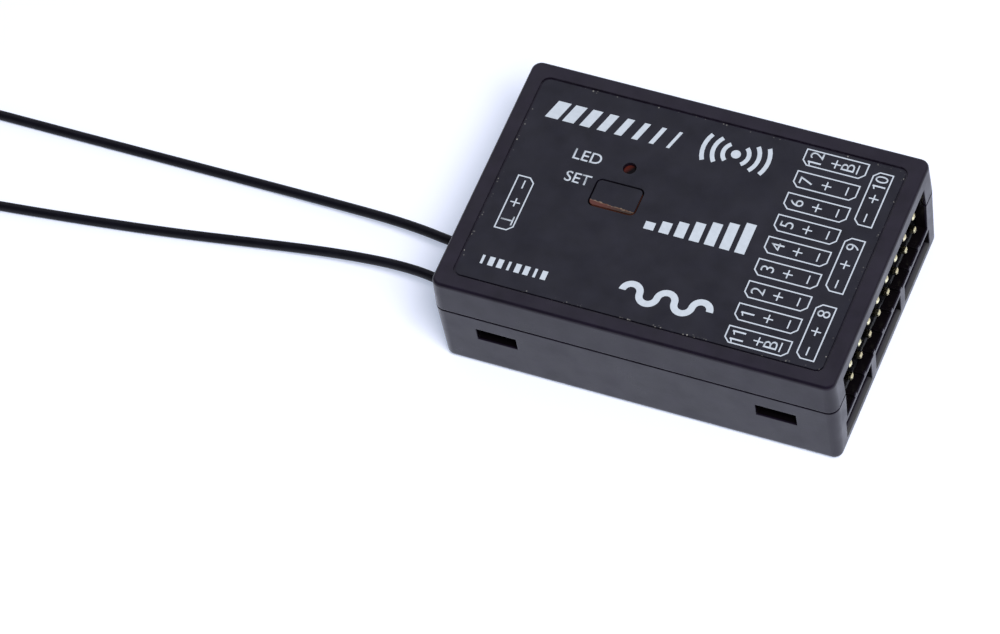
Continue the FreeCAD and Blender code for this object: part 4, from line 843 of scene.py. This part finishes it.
@dataclass
class LabelPrint:
    """The white print on the label: socket frames with their numbers and signs, and plain shapes."""

    line: float = 0.150 * MM
    stroke: float = 0.20 * MM
    height: float = 0.02 * MM
    sunk: float = 0.2
    number_height: float = 1.50 * MM
    word_height: float = 1.38 * MM
    word_weight: float = 0.006
    number_weight: float = -0.004
    sign: float = 1.10 * MM
    letter_steps: int = 4
    digit_step: float = 0.66
    flag: float = 0.22
    flag_drop: float = 0.4
    flag_width: float = 0.8
    flag_slant: float = 0.6
    arc_step: float = 0.16
    least_arc_steps: int = 6
    dot_corners: int = 28
    corner: float = 0.62 * MM
    column_x: Pair = (9.75 * MM, 17.0 * MM)
    column_width: float = 2.2 * MM
    column_back: float = 12.05 * MM
    column_pitch: float = 3.006 * MM
    number_x: float = 1.38 * MM
    plus_x: float = 3.70 * MM
    minus_x: float = 6.05 * MM
    letter_x: float = 5.10 * MM
    rule_x: float = 6.22 * MM
    rule: float = 1.1
    row_x: Pair = (17.75 * MM, 20.0 * MM)
    row_length: float = 7.23 * MM
    row_back: float = 8.87 * MM
    row_pitch: float = 8.98 * MM
    row_number: float = 0.97
    row_number_y: Pair = (2.45 * MM, 2.25 * MM)
    row_plus_y: float = 0.1 * MM
    row_minus_y: float = -2.5 * MM
    telemetry_middle: Pair = (-18.1 * MM, -3.05 * MM)
    telemetry_size: Pair = (2.1 * MM, 7.3 * MM)
    telemetry_letter: float = 0.95
    telemetry_minus_y: float = 2.55 * MM
    telemetry_plus_y: float = 0.08 * MM
    telemetry_letter_y: float = -2.3 * MM
    lamp_word: Pair = (-12.73 * MM, 5.05 * MM)
    button_word: Pair = (-12.72 * MM, 2.05 * MM)

    def __post_init__(self) -> None:
        """Find the top of the foil, which the print lies on."""
        self.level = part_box("label_foil")[1].z - self.height * self.sunk
        self.made: list[bpy.types.Object] = []

    def at(self, x: float, y: float) -> Vector:
        """Return a place on the foil."""
        return Vector((x, y, self.level))

    def frame(self, length: float, width: float, place: Vector, cut: CutSide) -> None:
        """Print a frame with two corners cut off.

        Args:
            length: Its size along X.
            width: Its size along Y.
            place: Its middle.
            cut: The side whose corners are cut.
        """
        piece = Bench.plate("frame", length, width)
        side = Vector((*cut.value, 0.0))
        with Bench.editing(piece):
            Bench.pick(piece, lambda spot: spot.dot(side) > 0.0)
            bpy.ops.mesh.bevel(offset=self.corner, offset_type="OFFSET", segments=1, affect="VERTICES")
            bpy.ops.mesh.select_all(action="SELECT")
            bpy.ops.mesh.inset(thickness=self.line)
            bpy.ops.mesh.delete(type="FACE")
        self.made.append(Bench.raised(piece, place, self.height))

    def bar(self, length: float, width: float, place: Vector, slant: float = 0.0, turn: float = 0.0) -> None:
        """Print a filled bar.

        Args:
            length: Its size along X.
            width: Its size along Y.
            place: Its middle.
            slant: How far its back edge leans toward +X.
            turn: Its turn about Z.
        """
        piece = Bench.plate("bar", length, width)
        with Bench.editing(piece):
            Bench.pick(piece, lambda spot: spot.y > 0.0)
            bpy.ops.transform.translate(value=(slant, 0.0, 0.0))
        self.made.append(Bench.raised(piece, place, self.height, turn))

    def arc(self, radius: float, width: float, start: float, sweep: float, place: Vector) -> None:
        """Print a stretch of a ring.

        Args:
            radius: The radius at the middle of the line.
            width: The width of the line.
            start: The angle at which it starts.
            sweep: How far it goes round.
            place: The ring's middle.
        """
        piece = Bench.plate("arc", width, width)
        with Bench.editing(piece):
            Bench.pick(piece, lambda spot: spot.y > 0.0)
            bpy.ops.mesh.delete(type="VERT")
            bpy.ops.mesh.select_all(action="SELECT")
            bpy.ops.transform.translate(value=(radius, width / 2.0, 0.0))
            steps = max(self.least_arc_steps, round(sweep / self.arc_step))
            bpy.ops.mesh.spin(steps=steps, angle=sweep, center=(0.0, 0.0, 0.0), axis=(0.0, 0.0, -1.0))
        self.made.append(Bench.raised(piece, place, self.height, start))

    def dot(self, radius: float, place: Vector) -> None:
        """Print a filled round dot."""
        bpy.ops.object.select_all(action="DESELECT")
        bpy.ops.mesh.primitive_circle_add(vertices=self.dot_corners, radius=radius, fill_type="NGON")
        self.made.append(Bench.raised(bpy.context.active_object, place, self.height))

    def plus(self, place: Vector) -> None:
        """Print a plus sign."""
        self.bar(self.sign, self.line, place)
        arm = (self.sign - self.line) / 2.0
        offset = Vector((0.0, (self.line + arm) / 2.0, 0.0))
        self.bar(self.line, arm, place + offset)
        self.bar(self.line, arm, place - offset)

    def minus(self, place: Vector) -> None:
        """Print a minus sign, which reads from front to back."""
        self.bar(self.line, self.sign, place)

    def text(self, words: str, height: float, place: Vector, reading: Reading) -> None:
        """Print plain capitals or numbers.

        Args:
            words: What is written.
            height: The height of the capitals.
            place: The middle of the writing.
            reading: Which way it reads.
        """
        bpy.ops.object.select_all(action="DESELECT")
        bpy.ops.object.text_add()
        piece = bpy.context.active_object
        piece.data.body = words
        piece.data.resolution_u = self.letter_steps
        piece.data.offset = self.word_weight if reading is Reading.ACROSS else self.number_weight
        bpy.ops.object.convert(target="MESH")
        corners = [vertex.co for vertex in piece.data.vertices]
        low = Vector(min(corner[axis] for corner in corners) for axis in range(3))
        high = Vector(max(corner[axis] for corner in corners) for axis in range(3))
        scale = height / (high.y - low.y)
        piece.scale = (scale, scale, 1.0)
        piece.location = (low + high) * (-0.5 * scale)
        Bench.settle(piece)
        self.made.append(Bench.raised(piece, place, self.height, reading.value))

    def number(self, digits: str, height: float, place: Vector) -> None:
        """Print a number that reads from front to back.

        Args:
            digits: Its digits.
            height: Their height.
            place: The number's middle.
        """
        for index, digit in enumerate(digits):
            step = (index - (len(digits) - 1) / 2.0) * height * self.digit_step
            middle = place + Vector((0.0, step, 0.0))
            if digit != "1":
                self.text(digit, height, middle, Reading.TO_BACK)
                continue
            flag = height * self.flag
            self.bar(height, self.stroke, middle)
            drop = (flag - height) / 2.0 + flag * self.flag_drop
            corner = Vector((drop, (flag + self.stroke) / -2.0, 0.0))
            self.bar(self.stroke * self.flag_width, flag, middle + corner, self.stroke * -self.flag_slant)

    def columns(self) -> None:
        """Print the nine frames of the servo columns with their numbers and signs."""
        left, right = self.column_x
        for index, number in enumerate(("12", "7", "6", "5", "4", "3", "2", "1", "11")):
            y = self.column_back - index * self.column_pitch
            self.frame(right - left, self.column_width, self.at((left + right) / 2.0, y), CutSide.FRONT)
            self.number(number, self.number_height, self.at(left + self.number_x, y))
            self.plus(self.at(left + self.plus_x, y))
            if len(number) > 1:
                self.text("B", self.number_height, self.at(left + self.letter_x, y), Reading.TO_BACK)
                self.bar(self.line, self.sign * self.rule, self.at(left + self.rule_x, y))
            else:
                self.minus(self.at(left + self.minus_x, y))
        self.finish("print_servo_columns")

    def rows(self) -> None:
        """Print the three frames of the lower sockets and the frame of the telemetry socket."""
        left, right = self.row_x
        x = (left + right) / 2.0
        for index, number in enumerate(("10", "9", "8")):
            y = self.row_back - index * self.row_pitch
            self.frame(right - left, self.row_length, self.at(x, y), CutSide.LEFT)
            shift = self.row_number_y[len(number) - 1]
            self.number(number, self.number_height * self.row_number, self.at(x, y + shift))
            self.plus(self.at(x, y + self.row_plus_y))
            self.minus(self.at(x, y + self.row_minus_y))
        x, y = self.telemetry_middle
        self.frame(*self.telemetry_size, self.at(x, y), CutSide.RIGHT)
        self.minus(self.at(x, y + self.telemetry_minus_y))
        self.plus(self.at(x, y + self.telemetry_plus_y))
        letter = self.at(x, y + self.telemetry_letter_y)
        self.text("T", self.number_height * self.telemetry_letter, letter, Reading.TO_FRONT)
        self.finish("print_single_sockets")

    def words(self) -> None:
        """Print the plain words beside the lamp and the button."""
        self.text("LED", self.word_height, self.at(*self.lamp_word), Reading.ACROSS)
        self.text("SET", self.word_height, self.at(*self.button_word), Reading.ACROSS)
        self.finish("print_lamp_and_button")

    def stripes(self) -> None:
        """Print a row of slanted stripes that grow narrower."""
        start, pitch, y = -18.5, 1.95, 9.9 * MM
        widest, narrowing = 1.50, 0.16
        tall, slant = 2.4 * MM, 0.75 * MM
        for index in range(8):
            width = (widest - narrowing * index) * MM
            self.bar(width, tall, self.at((start + pitch * index) * MM, y), slant)
        self.finish("print_stripes")

    def waves(self) -> None:
        """Print the plain sign for a radio aerial: a dot between arcs."""
        middle = self.at(2.6 * MM, 10.1 * MM)
        dot, line = 0.55 * MM, 0.5 * MM
        smallest, spacing = 1.45, 1.15
        widest, narrowing = 50.0, 11.0
        self.dot(dot, middle)
        for index in range(3):
            radius = (smallest + spacing * index) * MM
            half = math.radians(widest - narrowing * index)
            for facing in (0.0, math.pi):
                self.arc(radius, line, facing - half, 2.0 * half, middle)
        self.finish("print_aerial_sign")

    def strength_bars(self) -> None:
        """Print a row of bars that grow taller."""
        start, pitch, foot = -3.0, 1.75, -2.0 * MM
        wide, lowest, growth = 1.15 * MM, 1.0, 0.5
        for index in range(7):
            tall = (lowest + growth * index) * MM
            x = (start + pitch * index) * MM
            self.bar(wide, tall, self.at(x, foot + tall / 2.0))
        self.finish("print_strength_bars")

    def wave_line(self) -> None:
        """Print one broad wavy line from half rings."""
        start, pitch, y = -1.85, 2.0, -10.1 * MM
        radius, line = 1.0 * MM, 0.78 * MM
        for index in range(5):
            x = (start + pitch * index) * MM
            facing = 0.0 if index % 2 == 0 else math.pi
            self.arc(radius, line, facing, math.pi, self.at(x, y))
        self.finish("print_wave_line")

    def dashes(self) -> None:
        """Print a fine row of dashes."""
        start, pitch, y = -18.7, 1.02, -10.95 * MM
        broad, narrow, tall = 0.62 * MM, 0.3 * MM, 1.15 * MM
        for index in range(8):
            wide = broad if index % 3 else narrow
            self.bar(wide, tall, self.at((start + index * pitch) * MM, y))
        self.finish("print_dashes")

    def finish(self, name: str) -> None:
        """Join what was printed since the last call and let it ride on the case."""
        piece = Bench.joined(name, self.made)
        self.made = []
        piece.data.materials.clear()
        piece.data.materials.append(self.ink)
        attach(piece, CASE)
        LOG.info("%s has %d faces", name, len(piece.data.polygons))

    def build(self) -> None:
        """Print everything."""
        self.ink = Ink("print_white", (0.55, 0.605, 0.69), 0.50, variation=0.05, patch=0.8 * MM,
                       grain=0.10 * MM, relief=0.002 * MM, edge=0.02 * MM, worn=(0.52, 0.56, 0.62)).material()
        self.columns()
        self.rows()
        self.words()
        self.stripes()
        self.waves()
        self.strength_bars()
        self.wave_line()
        self.dashes()


class Receiver:
    """The whole receiver in its studio."""

    rest: float = 0.565

    def leads(self) -> list[AntennaLead]:
        """Return the two antenna leads, whose routes are in millimetres and end at rest on the floor."""
        first = [(-18.85, -3.4, 3.0), (-25.2, -3.4, 3.0), (-32.5, -2.05, 2.4), (-42.5, -1.15, 1.1),
                 (-56.0, -0.85, self.rest), (-75.0, -0.90, self.rest), (-92.0, -0.90, self.rest)]
        second = [(-18.85, -8.55, 3.0), (-24.6, -8.55, 3.0), (-30.2, -7.50, 2.6), (-38.5, -7.40, 1.5),
                  (-48.0, -8.38, 0.75), (-60.0, -10.25, self.rest), (-76.0, -12.2, self.rest),
                  (-90.6, -13.6, self.rest)]
        return [AntennaLead("antenna_wire_1", first, heading=0.0, side=1,
                            replaced=("antenna_lead_1", "antenna_coil_1")),
                AntennaLead("antenna_wire_2", second, heading=5.5, side=-1,
                            replaced=("antenna_lead_2", "antenna_coil_2"))]

    def build(self) -> None:
        """Build the studio, the leads, the finishes and the print, in that order."""
        Studio().build()
        jacket = LeadJacket("jacket_black", (0.0035, 0.0035, 0.0065), 0.42, grain=0.2 * MM,
                            relief=0.006 * MM, ior=1.28).material()
        for lead in self.leads():
            lead.build(jacket)
        Dressing().dress()
        LabelPrint().build()


def main() -> None:
    """Dress the receiver."""
    logging.basicConfig(level=logging.INFO, format="%(message)s")
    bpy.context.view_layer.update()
    Receiver().build()


if __name__ == "__main__":
    main()
